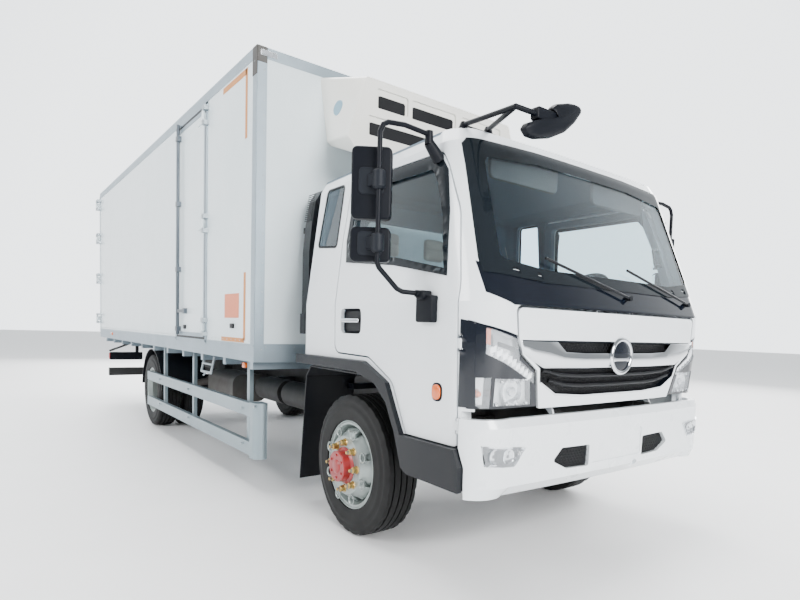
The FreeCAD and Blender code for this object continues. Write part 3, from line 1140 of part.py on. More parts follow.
def rear_locks(side):
    """Two vertical lock rods with their guides and hand levers."""
    rear = BOX_REAR_X - REAR_DOOR_T
    x = rear - 26
    rods = []
    for distance in LOCK_Y:
        y = side * distance
        bar = rod(V(x, y, FLOOR_TOP_Z - 90), V(x, y, BOX_TOP_Z - 35), 13)
        guides = [box(rear - LOCK_DEPTH, rear - SEAT_GAP, y - 28, y + 28, z, z + 40)
                  for z in (1120, 1600, 2300, 2800)]
        lever = box(x - 8, x + 8, min(y, y - side * 230), max(y, y - side * 230), 1480, 1510)
        keeper = box(rear - 30, rear - SEAT_GAP, min(y - side * 190, y - side * 230),
                     max(y - side * 190, y - side * 230), 1470, 1520)
        rods.append(fused([bar, lever, keeper] + guides))
    return group(rods)


def side_door():
    """The right wall's personnel door, hung on its front edge."""
    leaf = box(SIDE_DOOR_REAR_X, SIDE_DOOR_FRONT_X, -HALF_BOX, -HALF_BOX + BOX_WALL,
               SIDE_DOOR_LOW_Z, SIDE_DOOR_HIGH_Z)
    straps = []
    for z in SIDE_HINGE_Z:
        eye = Part.makeCylinder(HINGE_EYE_R, 70, V(SIDE_PIN_X, SIDE_PIN_Y, z - 35))
        blade = box(SIDE_DOOR_FRONT_X - 200, SIDE_DOOR_FRONT_X, -HALF_BOX - 8, -HALF_BOX, z - 30, z + 30)
        ear = box(SIDE_DOOR_FRONT_X - 20, SIDE_PIN_X, SIDE_PIN_Y, -HALF_BOX - 5, z - 30, z + 30)
        bore = Part.makeCylinder(HINGE_PIN_R + RUNNING_FIT, 90, V(SIDE_PIN_X, SIDE_PIN_Y, z - 45))
        straps.append(fused([eye, blade, ear]).cut(bore))
    return fused([leaf] + straps)


SIDE_PIN_X = SIDE_DOOR_FRONT_X + 30
SIDE_PIN_Y = -HALF_BOX - HINGE_OUT
SIDE_HINGE_Z = (1200, 2050, 2920)


def side_hinge_pins():
    """The pins of the side door and their blocks on its frame."""
    blocks = []
    for z in SIDE_HINGE_Z:
        pin = Part.makeCylinder(HINGE_PIN_R, 150, V(SIDE_PIN_X, SIDE_PIN_Y, z - 75))
        for z0 in (z - 75, z + 41):
            plate = box(SIDE_PIN_X - 12, SIDE_PIN_X + 50, SIDE_PIN_Y - 10, -HALF_BOX - SEAT_GAP, z0, z0 + 34)
            pin = pin.fuse(plate)
        blocks.append(pin)
    return blocks


def side_lock():
    """The vertical lock rod at the side door's rear edge."""
    x = -2810
    y = -HALF_BOX - 22
    bar = rod(V(x, y, SIDE_DOOR_LOW_Z + 10), V(x, y, SIDE_DOOR_HIGH_Z + 40), 13)
    guides = [box(x - 28, x + 28, -HALF_BOX - 38, -HALF_BOX - SEAT_GAP, z, z + 45)
              for z in (1150, 1700, 2300, 2890)]
    lever = box(x, x + 230, y - 8, y + 8, 1322, 1350)
    keeper = box(x + 190, x + 230, -HALF_BOX - 30, -HALF_BOX - SEAT_GAP, 1312, 1360)
    return fused([bar, lever, keeper] + guides)


REEFER_FRONT_X = -425
# bottom and top of each row of louvred openings, with their spans across
VENTS = (
    (2720, 2805, ((-565, -343), (-279, 94), (181, 560))),
    (2530, 2615, ((-630, -120), (-60, 330), (390, 630))),
)


def refrigeration_unit():
    """The nose-mounted housing: a tapered moulding with two rows of louvred openings."""
    back = outline([(-735, 3040), (735, 3040), (672, 2592), (638, 2570), (-638, 2570), (-672, 2592)], 25, "x",
                   BOX_FRONT_X + SEAT_GAP)
    front = outline([(-668, 2900), (668, 2900), (800, 2487), (715, 2378), (-715, 2378), (-800, 2487)], 25, "x",
                    REEFER_FRONT_X)
    housing = Part.makeLoft([back, front], True, True)
    cuts = []
    for z0, z1, spans in VENTS:
        for y0, y1 in spans:
            cuts.append(prism([(y0, z0), (y1, z0), (y1, z1), (y0, z1)], "x", REEFER_FRONT_X - 60, 0, 8))
            cuts.append(prism([(y0 - 18, z0 - 4), (y1 + 18, z0 - 4), (y1 + 18, z1 + 42), (y0 - 18, z1 + 42)],
                              "x", REEFER_FRONT_X - 16, 0, 20))
    return housing.cut(group(cuts))


# ------------------------------------------------------------------ the whole truck
def build():
    parts = {}
    parts["frame_rails"] = group([frame_rail(1), frame_rail(-1)])
    parts["frame_crossmembers"] = frame_crossmembers()
    parts["engine_block"] = engine_block()
    parts["front_axle_beam"] = front_axle_beam()
    parts["rear_axle"] = rear_axle()
    parts["leaf_springs"] = leaf_springs()
    parts["propshaft"] = propshaft()
    parts["cab_mounts"] = cab_mounts()
    parts["fuel_tank"] = fuel_tank()
    parts["air_tanks"] = air_tanks()
    parts["exhaust_silencer"] = exhaust_silencer()
    parts["front_bumper"] = front_bumper()
    parts["front_mudguards"] = both_sides(mudguard_front())
    parts["rear_mudguards"] = both_sides(mudguard_rear())
    parts["side_guards"] = group([side_guard(1), side_guard(-1)])
    parts["underrun_bar"] = underrun_bar()
    parts["fog_and_tail_lamps"] = group([fog_lamps(), tail_lamps()])
    parts["air_snorkel"] = air_snorkel()
    left, right, front, roof = box_walls()
    parts["box_floor"] = box_floor()
    parts["box_wall_left"] = left
    parts["box_wall_right"] = right
    parts["box_wall_front"] = front
    parts["box_roof"] = roof
    parts["box_rear_frame"] = rear_frame()
    parts["box_hinge_pins"] = group(rear_hinge_pins(1) + rear_hinge_pins(-1) + side_hinge_pins())
    parts["refrigeration_unit"] = refrigeration_unit()
    parts["cab_shell"] = cab_shell()
    parts["cab_glass"] = cab_glass()
    parts["windscreen_cowl"] = windscreen_cowl()
    parts["headlamps"] = group([headlamp(1), headlamp(-1)])
    parts["arch_trims"] = group([arch_trim(1), arch_trim(-1)])
    parts["dashboard"] = dashboard()
    parts["seats"] = seats()
    parts["wipers"] = wipers()
    parts["blind_spot_mirror"] = blind_spot_mirror()
    parts["steering_wheel"] = steering_wheel()
    parts["front_panel"] = front_panel()
    parts["front_grille"] = front_grille()
    for name, side in (("left", 1), ("right", -1)):
        parts["cab_door_" + name] = cab_door(side)
        parts["door_glass_" + name] = door_glass(side)
        parts["door_mirror_" + name] = door_mirror(side)
        parts["knuckle_" + name] = knuckle(side)
        parts["front_wheel_" + name], parts["front_tyre_" + name] = front_wheel(side)
        parts["rear_wheels_" + name], parts["rear_tyres_" + name] = rear_wheels(side)
        parts["rear_door_" + name] = rear_door(side)
        parts["rear_lock_" + name] = rear_locks(side)
    parts["side_door"] = side_door()
    parts["side_lock"] = side_lock()
    return parts


os.makedirs("parts", exist_ok=True)
for node, shape in build().items():
    shape.translate(V(-CENTRE_X, 0, 0))
    shape.exportStep("parts/" + node + ".step")
    print(node, len(shape.Solids), shape.isValid(), round(shape.Volume / 1e6, 2))
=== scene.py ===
import math
import bmesh
import bpy
from mathutils import Matrix, Vector
from mathutils.bvhtree import BVHTree


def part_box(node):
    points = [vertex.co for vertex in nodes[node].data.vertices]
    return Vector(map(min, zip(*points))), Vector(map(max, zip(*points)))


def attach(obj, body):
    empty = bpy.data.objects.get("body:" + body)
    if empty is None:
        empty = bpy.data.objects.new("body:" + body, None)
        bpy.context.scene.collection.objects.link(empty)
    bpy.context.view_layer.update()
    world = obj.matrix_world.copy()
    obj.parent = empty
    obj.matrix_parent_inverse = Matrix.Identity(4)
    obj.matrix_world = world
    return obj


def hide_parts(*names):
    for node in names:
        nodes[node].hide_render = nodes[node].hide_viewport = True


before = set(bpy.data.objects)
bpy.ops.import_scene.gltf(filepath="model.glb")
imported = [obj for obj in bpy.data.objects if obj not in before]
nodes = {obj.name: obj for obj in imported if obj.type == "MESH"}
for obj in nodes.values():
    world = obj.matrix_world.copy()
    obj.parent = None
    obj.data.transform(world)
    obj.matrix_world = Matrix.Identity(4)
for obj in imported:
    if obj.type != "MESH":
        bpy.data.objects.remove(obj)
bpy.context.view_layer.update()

# Camera: low beside the truck's right front corner, on a short lens, with the frame moved a little on
# the lens. Its axes are written out as forward, right and up, turned by the roll.
eye = Vector((5.9745, -2.707, 1.237))
yaw, pitch, roll = 2.454, -0.061, 0.032
forward = Vector((math.cos(yaw) * math.cos(pitch), math.sin(yaw) * math.cos(pitch), math.sin(pitch)))
level_right = Vector((math.sin(yaw), -math.cos(yaw), 0))
level_up = level_right.cross(forward)
right = level_right * math.cos(roll) + level_up * math.sin(roll)
up = level_up * math.cos(roll) - level_right * math.sin(roll)
camera = bpy.data.objects.new("camera", bpy.data.cameras.new("camera"))
bpy.context.collection.objects.link(camera)
camera.matrix_world = Matrix((right, up, -forward)).transposed().to_4x4()
camera.matrix_world.translation = eye
camera.data.lens = 25.86
camera.data.sensor_width = 36
camera.data.shift_x = -0.0555
camera.data.shift_y = 0.0815
camera.data.clip_end = 200
bpy.context.scene.camera = camera

# Light: a white backdrop behind the truck and a dimmer room before it, so that black parts stay black,
# with large soft boxes over the right side, in front of the cab and overhead.
world = bpy.data.worlds.new("studio")
bpy.context.scene.world = world
world.use_nodes = True
background = world.node_tree.nodes["Background"]
for name, spot, aim, size, power in (("side", (1.5, -12.5, 6.5), (0.5, 0, 1.3), 6.0, 1350),
        ("front", (13.5, -1.5, 5.0), (3.5, 0, 1.3), 4.5, 2000), ("left", (0.0, 12.0, 6.0), (0.0, 0, 1.3), 6.0, 1100),
        ("rear", (-13.0, 2.0, 5.0), (-3.5, 0, 1.5), 4.5, 1100), ("over", (-0.5, 0.0, 9.5), (0.0, 0, 1.0), 8.0, 1500)):
    lamp = bpy.data.objects.new(name, bpy.data.lights.new(name, "AREA"))
    bpy.context.collection.objects.link(lamp)
    lamp.data.size = size
    lamp.data.energy = power
    lamp.matrix_world = (Vector(spot) - Vector(aim)).to_track_quat("Z", "Y").to_matrix().to_4x4()
    lamp.location = spot


# Floor: a wide pale plane under the tyres. The first finish is its own, so the wrapper that writes
# shader sums stands here, with Finish, which makes a principled surface, and wear().
class Value:
    def __init__(self, tree, socket=None):
        self.tree = tree
        self.socket = socket

    def make(self, kind, inputs, output=0, **settings):
        node = self.tree.nodes.new(kind)
        for key, setting in settings.items():
            setattr(node, key, setting)
        for key, given in inputs.items():
            self.feed(node.inputs[key], given)
        return Value(self.tree, node.outputs[output])

    def feed(self, socket, given):
        if isinstance(given, Value):
            self.tree.links.new(given.socket, socket)
        elif isinstance(given, (tuple, list)) and len(given) == 3 and len(socket.default_value) == 4:
            socket.default_value = (*given, 1)
        else:
            socket.default_value = given

    def sum(self, operation, first, second=0.0):
        return self.make("ShaderNodeMath", {0: first, 1: second}, operation=operation)

    def __add__(self, other):
        return self.sum("ADD", self, other)

    __radd__ = __add__

    def __sub__(self, other):
        return self.sum("SUBTRACT", self, other)

    def __rsub__(self, other):
        return self.sum("SUBTRACT", other, self)

    def __mul__(self, other):
        return self.sum("MULTIPLY", self, other)

    __rmul__ = __mul__

    def above(self, edge, soft=0.001):
        """0 under the edge and 1 over it, turning over within soft either way."""
        return self.make("ShaderNodeMapRange", {0: self, 1: edge - soft, 2: edge + soft})

    def mix(self, low, high):
        """From the low colour to the high one, by this value."""
        return self.make("ShaderNodeMix", {0: self, 6: low, 7: high}, 2, data_type="RGBA")

    def noise(self, scale, detail=3.0, roughness=0.55):
        return self.make("ShaderNodeTexNoise", {"Vector": self, "Scale": scale, "Detail": detail,
            "Roughness": roughness})

    def stretched(self, x, y, z):
        return self.make("ShaderNodeVectorMath", {0: self, 1: (x, y, z)}, operation="MULTIPLY")

    def part(self, axis):
        return self.make("ShaderNodeSeparateXYZ", {0: self}, axis)

    def relief(self, strength, depth):
        return self.make("ShaderNodeBump", {"Height": self, "Strength": strength, "Distance": depth})


class Finish:
    """A principled surface, whose flat numbers are set here and whose others are fed later."""

    def __init__(self, name, color, roughness, metallic=0.0, slot="black_plastic", **flat):
        self.material = bpy.data.materials.new(name)
        self.material.use_nodes = True
        self.slot = slot
        self.place = Value(self.material.node_tree).make("ShaderNodeTexCoord", {}, 3)
        for key, given in {"Base Color": color, "Roughness": roughness, "Metallic": metallic, **flat}.items():
            self.set(key.replace("_", " "), given)

    def set(self, key, given):
        self.place.feed(self.material.node_tree.nodes["Principled BSDF"].inputs[key], given)


def wear(name, color, dull, roughness, spread, metallic=0.0, grain=300.0, strength=0.15, depth=0.0004, **flat):
    """A finish that wanders between two colours and two roughnesses under a fine relief."""
    look = Finish(name, color, roughness, metallic, **flat)
    look.set("Base Color", look.place.noise(2.3, 5.0, 0.6).above(0.5, 0.22).mix(color, dull))
    look.set("Roughness", look.place.noise(9.0) * spread + (roughness - spread / 2))
    look.set("Normal", look.place.noise(grain, 2.0).relief(strength, depth))
    return look


toward = Value(world.node_tree).make("ShaderNodeTexCoord", {}, 0)
behind = toward.make("ShaderNodeVectorMath", {0: toward, 1: (-0.77, 0.64, 0.0)}, 1, operation="DOT_PRODUCT")
toward.feed(background.inputs["Strength"], behind.above(0.45, 0.35) * 2.9 + 0.45)
toward.feed(background.inputs["Color"], (0.93, 0.97, 1.0))
pale = wear("pale_floor", (0.93, 0.93, 0.93), (0.91, 0.91, 0.91), 0.6, 0.1, grain=60, strength=0.05)
bm = bmesh.new()
bmesh.ops.create_grid(bm, x_segments=1, y_segments=1, size=60)
mesh = bpy.data.meshes.new("floor")
bm.to_mesh(mesh)
bm.free()
floor = bpy.data.objects.new("floor", mesh)
bpy.context.collection.objects.link(floor)
floor.data.materials.append(pale.material)

# Chassis: riveted steel rails and cross pieces, axles, springs and brackets, painted satin black and darkened beyond
# that paint as painted shade for the dark underside, with cast parts left rougher and a little less dark. The fuel
# tank is brushed aluminium, the air tanks black under the same painted shade, and the exhaust silencer a dull coated
# steel, darkened as painted shade too.
def dress(look, *names):
    """Puts one finish on all of these CAD nodes."""
    for node in names:
        for i in range(len(nodes[node].material_slots)):
            nodes[node].material_slots[i].material = look.material


# Darker than satin black paint: painted shade for the dark underside.
frame_black_and_shade = wear("frame_black_and_shade", (0.006, 0.007, 0.008), (0.016, 0.015, 0.014), 0.55, 0.22, grain=260, strength=0.3,
    slot="chassis_black")
cast_iron = wear("cast_iron", (0.03, 0.03, 0.03), (0.05, 0.045, 0.04), 0.7, 0.2, 0.3, grain=180, strength=0.5)
# The silencer's grey is darkened as painted shade for the underside.
dull_steel_and_shade = wear("dull_steel_and_shade", (0.10, 0.10, 0.095), (0.07, 0.06, 0.055), 0.5, 0.2, 0.6, grain=220, strength=0.3,
    slot="aluminium")
dress(frame_black_and_shade, "frame_rails", "frame_crossmembers", "front_axle_beam", "rear_axle", "leaf_springs", "propshaft",
    "cab_mounts", "air_tanks", "underrun_bar")
dress(cast_iron, "engine_block")
dress(dull_steel_and_shade, "exhaust_silencer")

aluminium = wear("aluminium", (0.45, 0.49, 0.52), (0.39, 0.43, 0.46), 0.40, 0.14, 0.75)
aluminium.set("Normal", aluminium.place.stretched(4, 4, 900).noise(1.0, 2.0).relief(0.15, 0.0004))
zinc = wear("zinc", (0.42, 0.47, 0.50), (0.33, 0.37, 0.40), 0.44, 0.16, 0.7, slot="galvanised")
spangle = zinc.place.make("ShaderNodeTexVoronoi", {"Vector": zinc.place, "Scale": 70.0}, 1)
zinc.set("Base Color", spangle.part(0).mix((0.36, 0.41, 0.44), (0.46, 0.51, 0.54)))
guard_silver = wear("guard_silver", (0.27, 0.33, 0.36), (0.23, 0.29, 0.32), 0.38, 0.12, 0.55)
dress(aluminium, "fuel_tank")
dress(guard_silver, "side_guards")

# Tyres: black rubber with four grooves round the tread, notched shoulders and ribbed side walls. Each is one
# closed ring turned from its section; the rear pair is two such rings.
WELD = 0.00002
AHEAD = Vector((1, 0, 0))
UP = Vector((0, 0, 1))
SIDES = (("left", 1), ("right", -1))


def at(x, y, z):
    """A place in millimetres from the front axle's foot, as a point of the frame."""
    return Vector((front_axle_x + x / 1000, y / 1000, z / 1000))


def welded(bm):
    """Merges what coincides and turns all faces outward."""
    bmesh.ops.remove_doubles(bm, verts=bm.verts, dist=WELD)
    bmesh.ops.recalc_face_normals(bm, faces=bm.faces)


def made(name, bm, look, body, sharp=35):
    """The bmesh as a finished piece on a body, shaded smooth but for its edges sharper than that."""
    welded(bm)
    mesh = bpy.data.meshes.new(name)
    bm.to_mesh(mesh)
    bm.free()
    mesh.shade_smooth()
    mesh.set_sharp_from_angle(angle=math.radians(sharp))
    mesh.materials.append(look.material)
    piece = bpy.data.objects.new(name, mesh)
    bpy.context.collection.objects.link(piece)
    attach(piece, body)
    return piece


def turned(bm, section, centre, along, steps):
    """Spins a section of (radius, distance) points once round the line through centre."""
    side = along.orthogonal().normalized()
    ring = [bm.verts.new(centre + side * r / 1000 + along * d / 1000) for r, d in section]
    edges = [bm.edges.new(pair) for pair in zip(ring, ring[1:])]
    bmesh.ops.spin(bm, geom=ring + edges, cent=centre, axis=along, angle=2 * math.pi, steps=steps, use_merge=True)


front_low, front_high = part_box("front_tyre_right")
front_axle_x = (front_low.x + front_high.x) / 2
AXLE_Z = 419
REAR_AXLE_X = -4500
rubber = wear("rubber", (0.004, 0.0045, 0.005), (0.010, 0.010, 0.010), 0.62, 0.18, grain=420, strength=0.3,
    Specular_IOR_Level=0.25, slot="rubber")
HALF_SECTION = [(263, 97), (268, 107), (285, 110), (300, 111.5), (330, 112), (332, 112.4), (350, 111.4), (352, 110.0),
    (378, 107), (380, 107.5), (395, 103), (404, 98), (411, 95), (415, 92), (417.5, 80), (418, 68), (406, 67),
    (406, 59), (418.2, 58), (418.7, 24), (406, 23), (406, 15), (418.8, 14)]
TYRE_STEPS = 112
TREAD_R, SHOULDER_Y, NOTCH = 0.402, 66, 0.006
for kind, side, turn, x, middles in [(kind, *side, x, middles) for kind, x, middles in (("front_tyre", 0, (877.5,)),
        ("rear_tyres", REAR_AXLE_X, (962.5, 692.5))) for side in SIDES]:
    bm = bmesh.new()
    for middle in middles:
        section = HALF_SECTION + [(r, -d) for r, d in reversed(HALF_SECTION)] + HALF_SECTION[:1]
        turned(bm, section, at(x, turn * middle, AXLE_Z), Vector((0, 1, 0)), TYRE_STEPS)
    axle = at(x, 0, AXLE_Z)
    for vert in bm.verts:
        out = Vector((vert.co.x - axle.x, 0, vert.co.z - axle.z))
        step = round(math.atan2(out.z, out.x) / (2 * math.pi) * TYRE_STEPS)
        offset = min(abs(abs(vert.co.y) * 1000 - middle) for middle in middles)
        if step % 4 == 0 and out.length > TREAD_R and offset > SHOULDER_Y:
            vert.co -= out.normalized() * NOTCH
    bmesh.ops.remove_doubles(bm, verts=bm.verts, dist=WELD)
    node = f"{kind}_{side}"
    tyre = made(node.replace("tyre", "tread"), bm, rubber, node.replace("tyre", "wheel"))
    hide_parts(node)

# Wheels: silver-painted steel discs with eight oval hand holes, brass-coloured nuts on long studs, a
# red hub recess, a valve and a bright rim edge. The red brake drum shows through the hand holes.
def rod(bm, start, end, radius, other=None, steps=16):
    """A round bar or cone from start to end."""
    along = end - start
    place = Matrix.Translation((start + end) / 2) @ along.to_track_quat("Z", "Y").to_matrix().to_4x4()
    bmesh.ops.create_cone(bm, cap_ends=True, segments=steps, radius1=radius / 1000,
        radius2=(radius if other is None else other) / 1000, depth=along.length, matrix=place)


wheel_silver = wear("wheel_silver", (0.32, 0.36, 0.35), (0.26, 0.30, 0.29), 0.34, 0.14, 0.55, grain=300, strength=0.12,
    slot="wheel_silver")
brass = wear("brass_zinc", (0.52, 0.36, 0.13), (0.42, 0.28, 0.09), 0.30, 0.16, 0.85, slot="galvanised")
hub_red = wear("hub_red", (0.30, 0.012, 0.014), (0.20, 0.010, 0.012), 0.38, 0.2, 0.0, grain=260, strength=0.3,
    Coat_Weight=0.3, slot="wheel_silver")
dress(wheel_silver, "front_wheel_left", "front_wheel_right", "rear_wheels_left", "rear_wheels_right")
dress(hub_red, "knuckle_left", "knuckle_right")
STUD_CIRCLE_R = 137.5
NUT = ((-1, 6, 24, 22, 20), (4, 30, 19, 19, 6), (30, 34, 19, 14, 6), (30, 50, 11, 9, 12))


def spoke(angle, reach):
    """The way out from a wheel's axle at this angle, as long as the reach in millimetres."""
    return Vector((math.cos(angle), 0, math.sin(angle))) * reach / 1000


for side, turn in SIDES:
    for end, x, face, rim_edge in (("front", 0, 1012.5, 972.5), ("rear", REAR_AXLE_X, 827.5, 1057.5)):
        out = Vector((0, turn, 0))
        centre = at(x, turn * face, AXLE_Z)
        body = end + ("_wheel_" if end == "front" else "_wheels_") + side
        bm = bmesh.new()
        for k in range(8):
            spot = centre + spoke(k * math.pi / 4, STUD_CIRCLE_R)
            for near, far, low_r, high_r, steps in NUT:
                rod(bm, spot + out * near / 1000, spot + out * far / 1000, low_r, high_r, steps)
        made(f"wheel_nuts_{end}_{side}", bm, brass, body)
        bm = bmesh.new()
        turned(bm, [(0, 66), (30, 66), (38, 62), (42, 58), (86, 58), (90, 54), (91, 14), (104, 8), (109, 4), (109, 1),
            (0, 1)], centre, out, 48)
        for k in range(6):
            spot = centre + spoke((k + 0.5) * math.pi / 3, 66) + out * 0.056
            rod(bm, spot, spot + out * 0.008, 9, 8, 6)
        made(f"hub_cap_{end}_{side}", bm, hub_red, body)
        bm = bmesh.new()
        edge = at(x, turn * rim_edge, AXLE_Z)
        turned(bm, [(262, 1.5), (264.5, 4), (265, 8), (262, 11), (256, 11.5), (252, 8), (250, 2), (255, 0.5),
            (262, 1.5)], edge - out * 0.006, out, 96)
        for k in range(8):
            turned(bm, [(21.5, -4), (27, 1.2), (31, 0.4), (31, -4), (21.5, -4)],
                centre + spoke((k + 0.5) * math.pi / 4, 205), out, 20)
        valve = centre + spoke(1.18, 238)
        rod(bm, valve - out * 0.030, valve + out * 0.022, 5, 4, 10)
        rod(bm, valve + out * 0.018, valve + out * 0.032, 6, 6, 10)
        made(f"rim_trim_{end}_{side}", bm, wheel_silver, body)

# Cab: pressed steel panels in cool white enamel under lacquer, with road film low down, and grey felt and trim panels
# on their inner faces, darkened to a blue-grey as painted shade for the dim inside of the cab. The doors, the nose
# flap and the bumper wear the same enamel.
ENAMEL, FILM, SHADED_LINING = (0.80, 0.84, 0.87), (0.50, 0.50, 0.47), (0.11, 0.15, 0.19)
FILM_LOW_Z, FILM_HIGH_Z = 0.40, 1.10
cab_white = wear("cab_white", ENAMEL, ENAMEL, 0.26, 0.06, grain=900, strength=0.05, depth=0.0002, Coat_Weight=0.9,
    Coat_Roughness=0.04)
x, y, z = (cab_white.place.part(axis) for axis in range(3))
across = y.sum("ABSOLUTE", y)
height = cab_white.place.make("ShaderNodeMapRange", {0: z, 1: FILM_HIGH_Z, 2: FILM_LOW_Z})
film = cab_white.place.noise(14.0, 6.0).above(0.55, 0.3) * height * 0.35
BELT_Z, HEADER_Z, CEILING_Z, BACK_X = 1.372, 2.175, 2.232, front_axle_x - 0.602
lean = cab_white.place.make("ShaderNodeMapRange", {0: z, 1: BELT_Z, 2: HEADER_Z})
half_width = 0.978 - lean * 0.095
corner = across.sum("MAXIMUM", across - 0.72, 0.0)
front_face = front_axle_x + 0.99 - lean * 0.19 - corner * 0.9
within = (half_width - across).above(0) * (front_face - x).above(0)
within = within * (x - BACK_X).above(0) * (CEILING_Z - z).above(0)
# Inner faces take the lining colour, its dark blue-grey a painted shade for the dim inside of the cab.
cab_white.set("Base Color", within.mix(film.mix(ENAMEL, FILM), SHADED_LINING))
cab_white.set("Roughness", within * 0.6 + 0.26)
cab_white.set("Coat Weight", 0.9 - within * 0.9)
dress(cab_white, "cab_shell", "cab_door_left", "cab_door_right", "front_panel")
bumper_white = wear("bumper_white", ENAMEL, ENAMEL, 0.28, 0.06, grain=900, strength=0.05, depth=0.0002,
    Coat_Weight=0.9, Coat_Roughness=0.05)
dress(bumper_white, "front_bumper")


# Panel work: pieces that lie on a pressed panel are cut flat to their outline, divided, and laid on the
# panel's own skin: "x" looks back at the nose, and "y" looks in at a side.
def skin_of(*names):
    """The hit test of these nodes' skins together."""
    points, faces = [], []
    for node in names:
        mesh = nodes[node].data
        start = len(points)
        points += [vert.co.copy() for vert in mesh.vertices]
        faces += [[start + i for i in polygon.vertices] for polygon in mesh.polygons]
    return BVHTree.FromPolygons(points, faces)


def cell_cuts(bm, axes, cell):
    """Divides a flat piece by planes a cell apart along the axes, so that it can follow a curve."""
    for axis in axes:
        values = [vert.co[axis] for vert in bm.verts]
        normal = Vector([1.0 if i == axis else 0.0 for i in range(3)])
        count = int((max(values) - min(values)) / cell)
        for k in range(1, count + 1):
            point = normal * (min(values) + k * (max(values) - min(values)) / (count + 1))
            bmesh.ops.bisect_plane(bm, geom=bm.verts[:] + bm.edges[:] + bm.faces[:], plane_co=point, plane_no=normal)


def bevelled(bm, geom, width, segments, affect="EDGES"):
    """Rounds these edges or corners, to a width in millimetres."""
    bmesh.ops.bevel(bm, geom=geom, offset=width / 1000, segments=segments, profile=0.5, affect=affect, material=-1,
        clamp_overlap=True)


def thickened(bm, faces, move):
    """The faces with a wall drawn out from them by this move."""
    grown = bmesh.ops.extrude_face_region(bm, geom=faces, use_keep_orig=True)
    moved = [item for item in grown["geom"] if isinstance(item, bmesh.types.BMVert)]
    bmesh.ops.translate(bm, verts=moved, vec=move)
    return bm


def loop(bm, outline, look, depth=0):
    """New points in an outline of millimetre pairs, as seen along the axis that look names."""
    return [bm.verts.new(at(depth, a, b) if look == "x" else at(a, depth, b)) for a, b in outline]


def laid(outline, look, skin, lift, thick, cell=0.03, corner=0.0, rim=0.0, side=-1, level=None, reach=6.2):
    """A sheet in this outline, laid on the skin and raised off it by lift, in millimetres.

    look names the axis it is seen along, and side the wall of a y piece. level gives its place there in
    the skin's stead. A rim keeps only a border, of that width or in to that inner outline. Where the look
    meets no skin within reach, the sheet takes the nearest depth that was found.
    """
    bm = bmesh.new()
    axis = "xyz".index(look)
    face = bm.faces.new(loop(bm, outline, look))
    if corner:
        bevelled(bm, bm.verts[:], corner, 5, "VERTICES")
        face = bm.faces[:][0]
    if isinstance(rim, tuple):
        outer, inner = face.verts[:], loop(bm, rim, look)
        bmesh.ops.delete(bm, geom=[face], context="FACES_ONLY")
        for k in range(len(outer)):
            bm.faces.new((outer[k - 1], outer[k], inner[k], inner[k - 1]))
    elif rim:
        bmesh.ops.inset_region(bm, faces=[face], thickness=rim / 1000, use_boundary=True, use_even_offset=True)
        bmesh.ops.delete(bm, geom=[face], context="FACES_ONLY")
    cell_cuts(bm, [i for i in range(3) if i != axis], cell)
    bmesh.ops.triangulate(bm, faces=bm.faces[:])
    outward = AHEAD if look == "x" else Vector((0, side, 0))
    origin = front_axle_x if look == "x" else 0
    found, missed = [], []
    for vert in bm.verts:
        base = vert.co.copy()
        base[axis] = origin + outward[axis] * 5
        hit = skin.ray_cast(base, -outward, reach)[0] if level is None else None
        if level is not None:
            found.append((vert, base, origin + level(base.y * 1000, base.z * 1000) / 1000))
        elif hit:
            found.append((vert, base, hit[axis]))
        else:
            missed.append((vert, base))
    for vert, base in missed:
        found.append((vert, base, min(found, key=lambda item: (item[1] - base).length)[2]))
    for vert, _, depth in found:
        vert.co[axis] = depth + outward[axis] * lift / 1000
    return thickened(bm, bm.faces[:], -outward * thick / 1000)


def joined(*parts):
    """One bmesh holding these ones."""
    whole = bmesh.new()
    for part in parts:
        mesh = bpy.data.meshes.new("part")
        part.to_mesh(mesh)
        part.free()
        whole.from_mesh(mesh)
        bpy.data.meshes.remove(mesh)
    return whole


cab_front = skin_of("cab_shell", "front_panel", "front_grille", "headlamps", "cab_glass", "windscreen_cowl")

# Cowl: the gloss black plastic panel under the windscreen, moulded in one and clipped to the shell. It
# stays bare.
black_gloss = wear("black_gloss", (0.002, 0.004, 0.009), (0.004, 0.006, 0.011), 0.10, 0.04, grain=500, strength=0.02,
    depth=0.0002, Specular_IOR_Level=0.35, Coat_Weight=0.4, Coat_Roughness=0.02, slot="gloss_black")
dress(black_gloss, "windscreen_cowl")

# Glass: tinted panes, blue-green in their thickness. The door panes end in dark glossy bands, partly a black edge and
# partly painted shade for the dim cab seen through the glass, and the quarter windows sit in black rubber seals.
glass = Finish("windscreen_glass", (0.78, 0.90, 0.96), 0.02, Transmission_Weight=1.0, IOR=1.45)
glass.set("Roughness", glass.place.noise(30.0) * 0.01 + 0.002)
side_glass = Finish("side_glass", (0.64, 0.73, 0.74), 0.02, Transmission_Weight=1.0, IOR=1.45)
side_glass.set("Roughness", side_glass.place.noise(30.0) * 0.01 + 0.002)
dress(glass, "cab_glass")
dress(side_glass, "door_glass_left", "door_glass_right")
seal_black = wear("seal_black", (0.003, 0.004, 0.005), (0.006, 0.007, 0.008), 0.40, 0.14, grain=600, strength=0.2,
    Specular_IOR_Level=0.25)
